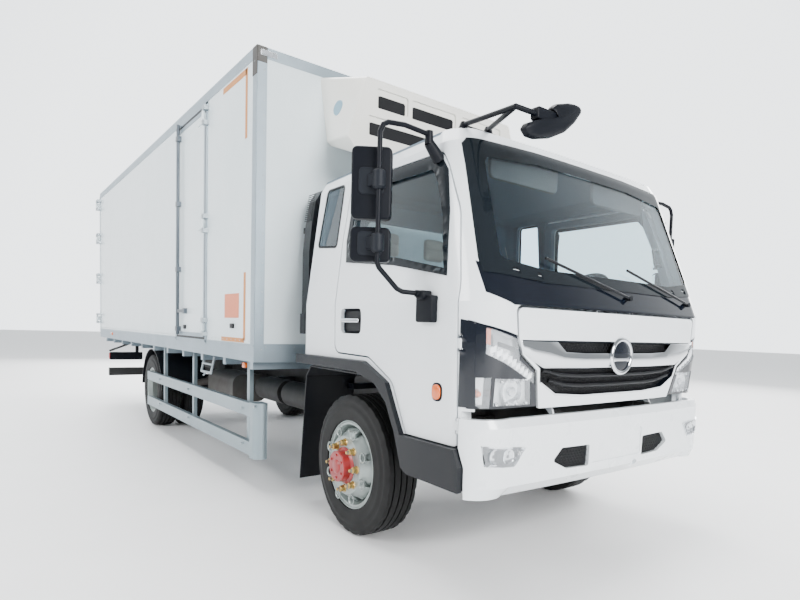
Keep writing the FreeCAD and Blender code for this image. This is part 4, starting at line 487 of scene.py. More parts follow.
# The bands' glossy near-black is partly a black printed edge and partly painted shade for the dim cab behind the
# glass.
shade = wear("border_and_painted_shade", (0.006, 0.009, 0.012), (0.008, 0.011, 0.014), 0.10, 0.04, grain=500, strength=0.02,
    depth=0.0002, Specular_IOR_Level=0.4)
DOOR_WINDOW = ((866, 1492), (826, 1806), (772, 2015), (700, 2106), (-112, 2106), (-136, 1750), (-110, 1622),
    (402, 1572))
DOOR_PANE = ((838, 1530), (775, 1800), (690, 1985), (640, 2038), (-70, 2038), (-96, 1750), (-72, 1662), (412, 1614))
QUARTER_WINDOW = ((-254, 1722), (-250, 2120), (-478, 2120), (-515, 1745))
for name, side in SIDES:
    bm = laid(DOOR_WINDOW, "y", skin_of("cab_door_" + name), 4, 8, 0.014, 0, DOOR_PANE, side, None, 4.6)
    made(f"door_window_seal_and_shade_{name}", bm, shade, "cab_door_" + name)
    cab_side = skin_of("cab_shell", "cab_glass")
    bm = laid(QUARTER_WINDOW, "y", cab_side, 3, 6, 0.04, 30, 14, side)
    made(f"quarter_window_seal_{name}", bm, seal_black, "cab")

# Plastics: mirror backs, lamp holders and door fittings are grained black plastic, fixed with clips and
# screws; the fascia and the steering wheel are grey.
black_plastic = wear("black_plastic", (0.0015, 0.0025, 0.005), (0.003, 0.004, 0.007), 0.46, 0.12, grain=1100,
    strength=0.2, depth=0.0005, Specular_IOR_Level=0.16)
fascia = wear("fascia", (0.055, 0.056, 0.06), (0.08, 0.08, 0.08), 0.6, 0.12, grain=900, strength=0.4,
    slot="fascia_grey")
dress(black_plastic, "fog_and_tail_lamps")
dress(fascia, "dashboard", "steering_wheel")

# Bright trim: chromed plastic, clipped on: the nose flap's wings and ring, the fog lamps' rims and the
# door levers.
chrome = wear("chrome", (0.80, 0.82, 0.84), (0.74, 0.77, 0.80), 0.08, 0.04, 1.0, grain=500, strength=0.02,
    depth=0.0002, slot="gloss_black")

# Windscreen: laminated glass bonded in over a dark glossy border band, which covers the edge of the opening
# in the shell; the band is partly a black printed edge and partly painted shade for the dim cab seen through the
# glass.
SCREEN_EDGE = ((-920, 1508), (-560, 1478), (560, 1478), (920, 1508), (922, 1570), (893, 1861), (876, 2036),
    (868, 2144), (846, 2172), (400, 2188), (-400, 2188), (-846, 2172), (-868, 2144), (-876, 2036), (-893, 1861),
    (-922, 1570))
SCREEN_PANE = ((-815, 1574), (-560, 1542), (560, 1542), (815, 1574), (832, 1596), (808, 1861), (796, 1980),
    (786, 2056), (764, 2082), (400, 2114), (-400, 2114), (-764, 2082), (-786, 2056), (-796, 1980), (-808, 1861),
    (-832, 1596))
bm = laid(SCREEN_EDGE, "x", cab_front, 7.0, 10, 0.016, 0, SCREEN_PANE)
made("windscreen_border", bm, shade, "cab")

# Nose flap: below a white upper band, a black upper mesh, chromed wings that meet behind a plain ring,
# and a black honeycomb behind two long bars in a thin bright surround. All of it lifts with the flap.
NOSE_X = (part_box("front_panel")[1].x - front_axle_x) * 1000
NOSE_LEAN_Z, NOSE_LEAN = 1150, 0.16


def nose(y, z):
    """How far forward the nose's skin lies, in millimetres, below the windscreen."""
    return NOSE_X - 23 * (y / 800) ** 2 - NOSE_LEAN * max(0, NOSE_LEAN_Z - z)


def on_nose(y, z, proud):
    """A point that stands proud of the nose's skin."""
    return at(nose(y, z) + proud, y, z)


def strips(rows, thick):
    """A folded sheet through rows of points, each row as long as the next, with a wall of that size."""
    bm = bmesh.new()
    loops = [[bm.verts.new(point) for point in row] for row in rows]
    for low, high in zip(loops, loops[1:]):
        for k in range(len(low) - 1):
            bm.faces.new((low[k], low[k + 1], high[k + 1], high[k]))
    return thickened(bm, bm.faces[:], -AHEAD * thick / 1000)


def softened(bm, width, segments=2):
    """Bevels the edges that turn by more than 30 degrees."""
    welded(bm)
    edges = [e for e in bm.edges if len(e.link_faces) == 2 and e.calc_face_angle(0) > math.radians(30)]
    bevelled(bm, edges, width, segments)
    return bm


def comb(bm, y, z, wide, tall, place):
    """The three arms of one honeycomb cell, on the face that place gives the points of."""
    for angle in (90, -30, 210):
        a = math.radians(angle)
        rod(bm, place(y, z), place(y + math.cos(a) * wide, z + math.sin(a) * tall), 2.0, None, 4)


def both_sides(row):
    """A row of points from the middle outward, carried over to the other side too."""
    return [Vector((p.x, -p.y, p.z)) for p in reversed(row) if p.y > 1e-6] + row


mesh_black = wear("mesh_black", (0.004, 0.005, 0.006), (0.008, 0.008, 0.010), 0.42, 0.12, grain=500, strength=0.2,
    Specular_IOR_Level=0.3, slot="gloss_black")
GRILLE_HOLE = ((-758, 1204), (758, 1204), (732, 1146), (622, 1068), (608, 1000), (490, 936), (280, 921), (-280, 921),
    (-490, 936), (-608, 1000), (-622, 1068), (-732, 1146))
bm = laid(GRILLE_HOLE, "x", None, -34, 8, 0.08, level=nose)
carrier = made("grille_carrier", bm, mesh_black, "service_flap")
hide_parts("front_grille")
bm = laid(GRILLE_HOLE, "x", None, -1, 34, 0.08, 8, 7, level=nose)
made("grille_frame", bm, black_gloss, "service_flap")
bm = laid(((-604, 1003), (-487, 941), (-279, 926), (279, 926), (487, 941), (604, 1003), (599, 994), (485, 931),
    (278, 916), (-278, 916), (-485, 931), (-599, 994)), "x", None, 3, 10, 0.08, level=nose)
made("grille_lip", bm, chrome, "service_flap")
HEX_PITCH, HEX_ROW = 24, 15
bm = bmesh.new()
for row in range(20):
    z = 924 + row * HEX_ROW
    reach = 610 if z > 1000 else 285 + (z - 924) * 4.2
    for column in range(-30, 31):
        y = (column + 0.5 * (row % 2)) * HEX_PITCH
        if abs(y) > reach or 1066 < z < 1146 or z > 1196 or (z > 1100 and abs(y) > 480):
            continue
        comb(bm, y, z, 13.5, 10.5, lambda y, z: on_nose(y, z, -20))
made("grille_honeycomb", bm, mesh_black, "service_flap")
for k, (foot, rise) in enumerate(((962, 21), (1013, 20))):
    reach = 545 if k == 0 else 596
    low = [on_nose(y, foot + lift, -3) for y, lift in ((0, 0), (300, 2), (reach - 130, 10), (reach, 38))]
    crest = [on_nose(y, foot + rise * 0.5 + lift, 5) for y, lift in ((0, 0), (300, 2), (reach - 128, 10), (reach, 37))]
    high = [on_nose(y, foot + rise + lift, -3) for y, lift in ((0, 0), (300, 2), (reach - 126, 10), (reach, 34))]
    bm = softened(strips([both_sides(row) for row in (low, crest, high)], 12), 2)
    made(f"grille_bar_{k}", bm, mesh_black, "service_flap")
foot = [on_nose(y, z, p) for y, z, p in ((0, 1066, 2), (300, 1066, 2), (600, 1070, 2), (690, 1110, 2), (742, 1140, 2))]
lip = [on_nose(y, z, p) for y, z, p in ((0, 1080, 9), (300, 1080, 9), (590, 1084, 8), (680, 1122, 6), (748, 1152, 3))]
crease = [on_nose(y, z, p) for y, z, p in ((0, 1106, 14), (300, 1106, 14), (480, 1110, 14), (690, 1187, 8),
    (757, 1190, 3))]
head = [on_nose(y, z, p) for y, z, p in ((0, 1142, 2), (300, 1142, 2), (455, 1148, 2), (520, 1197, 2), (760, 1200, 2))]
bm = softened(strips([both_sides(row) for row in (foot, lip, crease, head)], 9), 1.5)
made("grille_wings", bm, chrome, "service_flap")

# Emblem: a plain chromed ring on a bare black disc, standing on the wings' middle.
EMBLEM_Z = 1127
centre = on_nose(0, EMBLEM_Z, 0)
bm = bmesh.new()
turned(bm, [(101, 2), (102, 8), (98, 14), (92, 17), (85, 16), (80, 12), (79, 2), (101, 2)], centre, AHEAD, 72)
made("emblem_ring", bm, chrome, "service_flap")
bm = bmesh.new()
turned(bm, [(0, 9), (50, 8.4), (80, 6), (80, 1), (0, 1)], centre, AHEAD, 48)
made("emblem_disc", bm, black_gloss, "service_flap")

# Headlamps: a gloss black bezel round three openings: a clear upper lamp whose lower edge is a slanting
# row of square diodes, a turn lamp with an amber bulb and a faceted main reflector, all under clear lenses.
clear = Finish("clear_lens", (0.9, 0.95, 1.0), 0.03, Alpha=0.14, IOR=1.5, slot="lamp")
silver = wear("lamp_silver", (0.78, 0.80, 0.82), (0.70, 0.72, 0.75), 0.14, 0.08, 0.9, grain=200, strength=0.1,
    slot="lamp")
diode_white = Finish("diode_white", (0.95, 0.97, 1.0), 0.2, Emission_Strength=0.7, slot="lamp")
diode_white.set("Emission Color", diode_white.place.noise(60.0).mix((1.0, 1.0, 1.0), (0.85, 0.93, 1.0)))
amber = wear("amber_lens", (0.80, 0.16, 0.02), (0.66, 0.11, 0.01), 0.15, 0.06, grain=400, strength=0.2,
    Coat_Weight=0.6, slot="lamp")
red_lens = wear("red_lens", (0.50, 0.010, 0.012), (0.40, 0.008, 0.010), 0.15, 0.06, grain=400, strength=0.2,
    Coat_Weight=0.6, slot="lamp")
UPPER_LAMP = ((930, 1256), (901, 1246), (783, 1207), (757, 1107), (655, 1047), (640, 992), (680, 1014), (928, 1136))
TURN_LAMP = ((966, 1026), (897, 1029), (893, 887), (930, 884), (966, 912))
MAIN_LAMP = ((882, 1025), (672, 1019), (643, 893), (880, 897))
DIODE_LINE = ((908, 1163), (652, 1023))


def solid_copy(bm, name="tool"):
    """The bmesh as an object of its own, for Blender's modifiers to work on."""
    mesh = bpy.data.meshes.new(name)
    bm.to_mesh(mesh)
    bm.free()
    tool = bpy.data.objects.new(name, mesh)
    bpy.context.collection.objects.link(tool)
    return tool


def without(bm, *tools):
    """The solid with these solids cut out of it."""
    bmesh.ops.recalc_face_normals(bm, faces=bm.faces)
    base = solid_copy(bm, "base")
    cutters = []
    for tool in tools:
        bmesh.ops.recalc_face_normals(tool, faces=tool.faces)
        cutter = solid_copy(tool)
        cutters.append(cutter)
        modifier = base.modifiers.new("cut", "BOOLEAN")
        modifier.object = cutter
        modifier.operation = "DIFFERENCE"
        modifier.solver = "EXACT"
    bpy.context.view_layer.update()
    graph = bpy.context.evaluated_depsgraph_get()
    mesh = bpy.data.meshes.new_from_object(base.evaluated_get(graph))
    result = bmesh.new()
    result.from_mesh(mesh)
    for item in [base, *cutters]:
        bpy.data.objects.remove(item)
    bpy.data.meshes.remove(mesh)
    return result


def prism(outline, near, far):
    """A straight prism in this outline, seen from ahead, between two places along x."""
    bm = bmesh.new()
    face = bm.faces.new(loop(bm, outline, "x", near))
    return thickened(bm, [face], AHEAD * (far - near) / 1000)


def copy_of(node):
    """The CAD node's own shape, merged from its loose triangles."""
    bm = bmesh.new()
    bm.from_mesh(nodes[node].data)
    bmesh.ops.remove_doubles(bm, verts=bm.verts, dist=0.00001)
    return bm


lamp_skin = skin_of("headlamps")
LAMPS = (UPPER_LAMP, TURN_LAMP, MAIN_LAMP)


def flip(turn, outline):
    """An outline seen from ahead, carried to the side that turn names."""
    return [(turn * a, b) for a, b in outline]


def front_hit(skin, y, z):
    """Where the skin is met, looking back at it from ahead."""
    return skin.ray_cast(at(3000, y, z), -AHEAD)[0]


pockets = [prism(flip(turn, shape), 700, 1300) for turn in (1, -1) for shape in LAMPS]
casing = made("lamp_bezels", without(copy_of("headlamps"), *pockets), black_gloss, "cab")
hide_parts("headlamps")
LAMP_BACK = ((940, 1262), (792, 1219), (761, 1128), (654, 1051), (612, 890), (968, 890))
LAMP_SHEETS = (("back", -80, 4, mesh_black, LAMP_BACK), ("bar", -20, 16, silver,
    ((896, 1226), (880, 1222), (872, 1160), (890, 1168))), ("amber", -10, 14, amber,
    ((928, 1254), (908, 1248), (908, 1176), (928, 1186))), ("slot", -16, 12, mesh_black,
    ((868, 1192), (786, 1166), (782, 1148), (868, 1172))))
side_skin = skin_of("cab_shell", "headlamps")


def lamp_sheet(turn, outline, lift, thick):
    """A sheet in this outline that follows the lamp's face."""
    return laid(flip(turn, outline), "x", lamp_skin, lift, thick, 0.05)


for name, turn in SIDES:
    cheek = laid(((984, 1291), (1000, 1288), (1052, 1278), (1052, 888), (984, 888)), "y", side_skin, 3.0, 5, 0.012, 4,
        0, turn)
    made(f"lamp_cheek_{name}", cheek, black_gloss, "cab")
    for piece, lift, thick, look, outline in LAMP_SHEETS:
        made(f"lamp_{piece}_{name}", lamp_sheet(turn, outline, lift, thick), look, "cab")
    trays = [lamp_sheet(turn, shape, sunk, 3) for shape, sunk in zip(LAMPS, (-36, -55, -64))]
    made(f"lamp_trays_{name}", joined(*trays), silver, "cab")
    lens = [lamp_sheet(turn, shape, -3, 2.5) for shape in LAMPS]
    made(f"lamp_lens_{name}", joined(*lens), clear, "cab")
    cells = []
    for k in range(9):
        y, z = [near + (far - near) * (k + 0.5) / 9 for near, far in zip(*DIODE_LINE)]
        square = [(y + a * 12, z + b * 13 - a * 6.5) for a, b in ((1, 1), (-1, 1), (-1, -1), (1, -1))]
        cells.append(lamp_sheet(turn, square, -14, 14))
    made(f"lamp_diodes_{name}", joined(*cells), diode_white, "cab")
    bowl = bmesh.new()
    spot = at(1100, turn * 762, 960)
    turned(bowl, [(0, -40), (30, -38), (52, -24), (62, 0), (65, 0), (55, -28), (30, -42), (0, -44)], spot, AHEAD, 28)
    turned(bowl, [(0, 4), (22, 2), (24, -8), (10, -36), (0, -36)], spot, AHEAD, 16)
    for k in range(7):
        facet = at(1108, turn * (665 + k * 33), 905 + (k % 2) * 104)
        turned(bowl, [(0, 0), (9, -4), (11, -16), (0, -16)], facet, AHEAD, 8)
    made(f"lamp_reflector_{name}", bowl, silver, "cab")
    bulb = bmesh.new()
    spot = front_hit(lamp_skin, turn * 930, 950) - AHEAD * 0.038
    turned(bulb, [(0, 26), (12, 22), (18, 10), (16, -4), (8, -10), (0, -10)], spot, AHEAD, 16)
    made(f"lamp_bulb_{name}", bulb, amber, "cab")

# Bumper: the white skin holds a fog lamp each side in a soft hollow, and a black honeycomb in its two
# air openings; its upper face is the step.
FOG_LAMP = ((957, 724), (719, 704), (788, 618), (944, 630))
AIR_OPENING = ((245, 560), (245, 671), (460, 675), (524, 613), (420, 566))
bumper_skin = skin_of("front_bumper", "fog_and_tail_lamps")
for name, turn in SIDES:
    lamp_shape, air_shape = flip(turn, FOG_LAMP), flip(turn, AIR_OPENING)
    made(f"fog_tray_{name}", laid(lamp_shape, "x", bumper_skin, 2.0, 3, 0.05), mesh_black, "chassis")
    made(f"fog_rim_{name}", laid(lamp_shape, "x", bumper_skin, 8, 8, 0.05, 8, 9), chrome, "chassis")
    bowls = bmesh.new()
    for y, z in ((895, 672), (820, 668)):
        turned(bowls, [(36, -26), (36, -30), (28, -36), (10, -40), (9, -32), (24, -32), (36, -26)],
            front_hit(bumper_skin, turn * y, z) + AHEAD * 0.034, AHEAD, 24)
    made(f"fog_bowls_{name}", bowls, chrome, "chassis")
    made(f"fog_lens_{name}", laid(lamp_shape, "x", bumper_skin, 10.5, 2, 0.05), clear, "chassis")

    def beside(y, z):
        """The bumper's skin carried across its air opening, in millimetres from the axle."""
        spot = front_hit(bumper_skin, turn * 236, z)
        return (spot.x - front_axle_x) * 1000 - 36 * ((y / 800) ** 2 - (236 / 800) ** 2)

    made(f"bumper_screen_{name}", laid(air_shape, "x", None, -20, 5, 0.03, level=beside), mesh_black, "chassis")
    bm = bmesh.new()
    for row in range(9):
        z = 560 + row * 14
        for column in range(14):
            y = 235 + column * 22 + 11 * (row % 2)
            if y > 515 - abs(z - 615) * 0.9 or y < 250:
                continue
            comb(bm, y, z, 12.5, 9.5, lambda y, z: at(beside(y, z) - 15, turn * y, z))
    made(f"bumper_honeycomb_{name}", bm, mesh_black, "chassis")

# Door mirrors: a black tube bent out from a foot at the door's header, down past two rounded shells
# that it carries on round clamps, and back in to a bracket block at the belt.
def tube(bm, points, radius, steps=14):
    """A bent round bar through the points, with a ball at each bend."""
    for start, end in zip(points, points[1:]):
        rod(bm, start, end, radius, None, steps)
    for point in points[1:-1]:
        bmesh.ops.create_uvsphere(bm, u_segments=steps, v_segments=8, radius=radius / 1000,
            matrix=Matrix.Translation(point))


def cuboid(middle, size):
    """A block of this size in metres, to be bevelled."""
    bm = bmesh.new()
    bmesh.ops.create_cube(bm, size=1)
    bmesh.ops.scale(bm, vec=size, verts=bm.verts)
    bmesh.ops.translate(bm, vec=middle, verts=bm.verts)
    return bm


def pillow(middle, size, corner, edge, ahead=AHEAD):
    """A block with round corners whose face towards ahead has a wide round edge."""
    bm = cuboid(middle, Vector(size) / 1000)
    axis = max(range(3), key=lambda i: abs(ahead[i]))
    bevelled(bm, [e for e in bm.edges if abs(e.verts[0].co[axis] - e.verts[1].co[axis]) > 0.002], corner, 5)
    reach = max(v.co[axis] * ahead[axis] for v in bm.verts)
    bevelled(bm, [e for e in bm.edges if min(v.co[axis] * ahead[axis] for v in e.verts) > reach - 0.0005], edge, 4)
    return bm


def path(turn, *points):
    """Places in millimetres, carried to the side that turn names."""
    return [at(x, turn * y, z) for x, y, z in points]


mirror_grey = wear("mirror_grey", (0.004, 0.006, 0.010), (0.007, 0.009, 0.013), 0.55, 0.12, grain=900, strength=0.2,
    Specular_IOR_Level=0.2)
mirror_glass = Finish("mirror_glass", (0.75, 0.79, 0.82), 0.03, 1.0, slot="glass")
mirror_glass.set("Roughness", mirror_glass.place.noise(8.0) * 0.02 + 0.02)
MIRROR_TUBE_X, MIRROR_TUBE_Y = 694, 1264
MIRROR_TURN = math.radians(37.8)
for name, turn in SIDES:
    body = "cab_door_" + name
    out = Vector((0, turn, 0))
    bm = bmesh.new()
    tube(bm, path(turn, (MIRROR_TUBE_X, 990, 2180), (MIRROR_TUBE_X, 1130, 2190), (MIRROR_TUBE_X, 1222, 2180),
        (MIRROR_TUBE_X, 1248, 2164), (MIRROR_TUBE_X, MIRROR_TUBE_Y, 2130), (MIRROR_TUBE_X, MIRROR_TUBE_Y, 1536),
        (MIRROR_TUBE_X, 1254, 1516), (700, 1156, 1426), (708, 1130, 1413), (732, 1030, 1408)), 12)
    for start, end, low_r, high_r, steps in (((MIRROR_TUBE_X, 985, 2196), (MIRROR_TUBE_X, 985, 2132), 19, 22, 20),
            ((MIRROR_TUBE_X, 985, 2140), (MIRROR_TUBE_X, 918, 2072), 26, 34, 24),
            ((731, 1066, 1408), (736, 1000, 1404), 17, 21, 18)):
        rod(bm, *path(turn, start, end), low_r, high_r, steps)
    arm = made(f"mirror_tube_{name}", bm, black_plastic, body)
    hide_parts("door_mirror_" + name)
    bracket = joined(pillow(at(756, turn * 1016, 1336), (124, 44, 130), 12, 6, out),
        pillow(at(744, turn * 1030, 1402), (62, 52, 44), 12, 8, out))
    made(f"mirror_bracket_{name}", bracket, black_plastic, body)
    ahead = Vector((math.cos(MIRROR_TURN), turn * math.sin(MIRROR_TURN), 0))

    def swung(middle, size, corner, edge, face=AHEAD):
        """A pillow turned outward with the mirror."""
        bm = pillow(middle, size, corner, edge, face)
        bmesh.ops.rotate(bm, cent=middle, matrix=Matrix.Rotation(turn * MIRROR_TURN, 3, "Z"), verts=bm.verts)
        return bm

    pads = bmesh.new()
    for k, (low, high, hold, pad) in enumerate(((1743, 2076, 1916, 122), (1545, 1706, 1629, 112))):
        middle = at(637, turn * 1270, (low + high) / 2) - ahead * 0.028
        made(f"mirror_shell_{name}_{k}", swung(middle, (56, 188, high - low), 26, 9), black_plastic, body)
        pane = swung(middle - ahead * 0.0285, (4, 166, high - low - 22), 22, 1, -AHEAD)
        made(f"mirror_glass_{name}_{k}", pane, mirror_glass, body)
        pads = joined(pads, swung(at(637, turn * 1270, hold), (14, 118, pad), 22, 4),
            pillow(at(664, turn * MIRROR_TUBE_Y, hold), (64, 50, 58), 8, 4))
        for low_z, high_z, low_r, high_r in ((-36, 36, 30, 30), (-46, -36, 20, 30), (36, 40, 30, 25)):
            rod(pads, at(MIRROR_TUBE_X, turn * MIRROR_TUBE_Y, hold + low_z), at(MIRROR_TUBE_X, turn * MIRROR_TUBE_Y,
                hold + high_z), low_r, high_r, 28)
    made(f"mirror_clamps_{name}", pads, mirror_grey, body)

# Blind-spot mirror: a kidney-shaped domed shell on a triangle of tubes from the roof's right corner,
# with two moulded feet on the roof.
KIDNEY = ((-886, 2104), (-858, 2080), (-807, 2080), (-703, 2107), (-610, 2153), (-548, 2209), (-508, 2262),
    (-506, 2276), (-520, 2288), (-555, 2290), (-604, 2284), (-678, 2262), (-708, 2240), (-712, 2228), (-695, 2226),
    (-674, 2218), (-672, 2200), (-695, 2184), (-753, 2166), (-812, 2154), (-866, 2132))
BLIND_X = (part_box("blind_spot_mirror")[1].x - front_axle_x) * 1000
bm = bmesh.new()
bm.faces.new(loop(bm, KIDNEY, "x", BLIND_X - 48))
bevelled(bm, bm.verts[:], 6, 3, "VERTICES")
face = bm.faces[:][0]
for reach, shrink in ((14, 0), (14, 5), (9, 12), (5, 16)):
    grown = bmesh.ops.extrude_face_region(bm, geom=[face])
    face = [item for item in grown["geom"] if isinstance(item, bmesh.types.BMFace)][0]
    middle = face.calc_center_median()
    for vert in face.verts:
        vert.co = vert.co - (vert.co - middle).normalized() * shrink / 1000 + AHEAD * reach / 1000
tubes = bmesh.new()
apex, knee = at(BLIND_X - 70, -893, 2205), at(BLIND_X - 40, -850, 2190)
roof_skin = skin_of("cab_shell")
for x, y in ((745, -812), (770, -670)):
    foot = roof_skin.ray_cast(at(x, y, 3000), -UP)[0]
    rod(tubes, foot - UP * 0.012, foot + Vector((0.004, 0, 0.030)), 30, 16, 20)
    rod(tubes, foot + UP * 0.018, apex, 12)
rod(tubes, apex, knee, 12)
rod(tubes, knee, at(BLIND_X - 30, -780, 2186), 12)
for joint in (apex, knee):
    bmesh.ops.create_uvsphere(tubes, u_segments=16, v_segments=8, radius=0.0125, matrix=Matrix.Translation(joint))
whole = joined(bm, joined(tubes, pillow(at(BLIND_X - 36, -742, 2190), (44, 138, 54), 12, 6)))
mirror = made("blind_spot_shell", whole, black_plastic, "cab", sharp=50)
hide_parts("blind_spot_mirror")

# Door furniture: a black rounded cup with a chromed lever across it, and an amber side lamp on a black
# base low on the door's front, all screwed to the door's skin.
def box_of(x0, x1, z0, z1):
    """The outline of a rectangle."""
    return [(x0, z0), (x1, z0), (x1, z1), (x0, z1)]


for name, turn in SIDES:
    body = "cab_door_" + name
    out = Vector((0, turn, 0))
    door_skin = skin_of(body)
    rim = laid(box_of(-107, 124, 1200, 1345), "y", door_skin, 3, 6, 0.05, 40, 14, turn)
    made(f"door_cup_rim_{name}", rim, black_plastic, body)
    cup = laid(box_of(-104, 121, 1203, 1342), "y", door_skin, 1.5, 2, 0.02, 38, 0, turn)
    made(f"door_cup_{name}", cup, mesh_black, body)
    face = turn * 998
    lever = joined(pillow(at(-6, face, 1276), (204, 16, 26), 12, 7, out), pillow(at(-84, face - turn * 10, 1276),
        (36, 34, 24), 8, 4, out))
    made(f"door_lever_{name}", lever, chrome, body)
    lamp = laid(box_of(806, 866, 905, 978), "y", door_skin, 14, 16, 0.05, 26, 0, turn)
    made(f"door_lamp_{name}", softened(lamp, 7, 3), amber, body)
    base = laid(box_of(798, 874, 897, 986), "y", door_skin, 3, 5, 0.05, 30, 0, turn)
    made(f"door_lamp_base_{name}", base, black_plastic, body)

# Black mouldings: arch lips and step panels, mudguards with hanging flaps, the intake mast with its
# slatted mouth and the wipers, in grained plastic held by screws and brackets.
step_black = wear("step_black", (0.003, 0.004, 0.007), (0.008, 0.009, 0.011), 0.34, 0.14, grain=900, strength=0.3,
    depth=0.0005, Specular_IOR_Level=0.25)
dress(step_black, "arch_trims", "front_mudguards", "rear_mudguards", "wipers", "air_snorkel")
bm = bmesh.new()
for rise in range(0, 14 * 14, 14):
    rod(bm, *path(1, (-838, rise * 0.16 - 895, 1965 + rise), (-742, rise * 0.16 - 895, 1965 + rise)), 3.2, None, 6)
made("intake_slats", bm, mesh_black, "chassis")

# Insulated box: glossy white sandwich skins, slightly wavy, closed by drawn aluminium corner posts,
# roof rails and a skirt that are riveted on. The rear frame and the load floor's edge are aluminium too.
box_white = wear("box_white", (0.72, 0.80, 0.83), (0.66, 0.75, 0.78), 0.24, 0.08, grain=700, strength=0.06,
    depth=0.0003, Coat_Weight=0.35, Coat_Roughness=0.12)
waves = box_white.place.stretched(0.9, 0.9, 0.35).noise(1.6, 2.0) + box_white.place.noise(600.0, 2.0) * 0.01
box_white.set("Normal", waves.relief(0.35, 0.03))
edge_silver = wear("edge_silver", (0.36, 0.43, 0.48), (0.29, 0.36, 0.41), 0.36, 0.14, 0.6, slot="aluminium")
edge_silver.set("Normal", edge_silver.place.stretched(600, 600, 4).noise(1.0, 2.0).relief(0.1, 0.0004))
dress(box_white, "box_wall_left", "box_wall_right", "box_wall_front", "box_roof", "rear_door_left", "rear_door_right",
    "side_door")
dress(edge_silver, "box_floor", "box_rear_frame")
dark_zinc = wear("dark_zinc", (0.11, 0.13, 0.15), (0.07, 0.085, 0.10), 0.34, 0.14, 0.7)
dress(zinc, "box_hinge_pins", "rear_lock_left", "rear_lock_right")
dress(dark_zinc, "side_lock")
BOX_FRONT_X, BOX_REAR_X = -960, -7160
FRAME_X, SKIRT_Z = BOX_FRONT_X + 3, 1096
BOX_LOW_Z, BOX_HIGH_Z = 970, 3116
HALF_BOX = 1200
POST, RAIL = 69, 81


def slat(low, high, bevel=1.5):
    """A flat bar between two corners in millimetres, with its edges broken."""
    bm = cuboid((at(*high) + at(*low)) / 2, at(*high) - at(*low))
    bevelled(bm, bm.edges[:], bevel, 1)
    return bm


def bars(near, far, *spans, bevel=1.5):
    """Flat bars between two places across the truck, each from x to x and from z to z."""
    low, high = sorted((near, far))
    return joined(*[slat((x0, low, z0), (x1, high, z1), bevel) for x0, x1, z0, z1 in spans])


RIVET_R, RIVET_TALL = 6, 0.0022


def rivets(bm, start, end, out, pitch):
    """A row of domed rivet heads from start to end."""
    count = max(1, round((end - start).length * 1000 / pitch))
    for k in range(count + 1):
        spot = start + (end - start) * k / count
        rod(bm, spot, spot + out * RIVET_TALL, RIVET_R, RIVET_R * 0.55, 8)


for name, turn in SIDES:
    face = turn * (HALF_BOX + 3)
    post = turn * (HALF_BOX - 0.5), turn * (HALF_BOX - POST)
    edges = joined(bars(turn * HALF_BOX, face, (BOX_REAR_X, FRAME_X, BOX_HIGH_Z - RAIL, BOX_HIGH_Z),
        (BOX_FRONT_X - POST, FRAME_X, SKIRT_Z, BOX_HIGH_Z - RAIL), (BOX_REAR_X, FRAME_X, BOX_LOW_Z, SKIRT_Z)),
        bars(*post, (BOX_FRONT_X, FRAME_X, BOX_LOW_Z, BOX_HIGH_Z)), bars(turn * (HALF_BOX + 1), turn * (HALF_BOX + 5),
        (BOX_REAR_X + 2, BOX_FRONT_X - 2, 984, 1008), (BOX_REAR_X + 2, BOX_FRONT_X - 2, 1078, 1092)))
    made(f"box_edges_{name}", edges, edge_silver, "chassis")
    out = Vector((0, turn, 0))
    bm = bmesh.new()
    for start, end, way, pitch in (((BOX_REAR_X + 40, face, 1115), (BOX_FRONT_X - 90, face, 1115), out, 90),
            ((BOX_REAR_X + 40, face, BOX_HIGH_Z - 60), (BOX_FRONT_X - 90, face, BOX_HIGH_Z - 60), out, 120),
            ((BOX_FRONT_X - 35, face, 1120), (BOX_FRONT_X - 35, face, BOX_HIGH_Z - 100), out, 100),
            ((FRAME_X, turn * (HALF_BOX - 50), 1060), (FRAME_X, turn * (HALF_BOX - 50), 3060), AHEAD, 100),
            ((FRAME_X, turn * 1120, 1078), (FRAME_X, turn * 40, 1078), AHEAD, 110)):
        rivets(bm, at(*start), at(*end), way, pitch)
    made(f"box_rivets_{name}", bm, zinc, "chassis")
    corner = joined(bars(turn * HALF_BOX, turn * (HALF_BOX + 5), (BOX_FRONT_X - 74, BOX_FRONT_X + 4, 2925,
        BOX_HIGH_Z)), bars(*post, (BOX_FRONT_X, BOX_FRONT_X + 5, 3010, BOX_HIGH_Z)))
    made(f"box_corner_{name}", corner, dull_steel_and_shade, "chassis")
    for piece, ahead, size, edge, look in (("marker", 12, (24, 108, 30), 4, clear),
            ("marker_base", 7, (12, 116, 38), 2, silver)):
        lamp = pillow(at(BOX_FRONT_X + ahead, turn * 1122, 3072), size, 6, edge)
        made(f"box_{piece}_{name}", lamp, look, "chassis")
inner = HALF_BOX - POST
made("box_edges_front", bars(-inner, inner, (BOX_FRONT_X, FRAME_X, BOX_LOW_Z, 1100),
    (BOX_FRONT_X, FRAME_X, 3040, BOX_HIGH_Z)), edge_silver, "chassis")

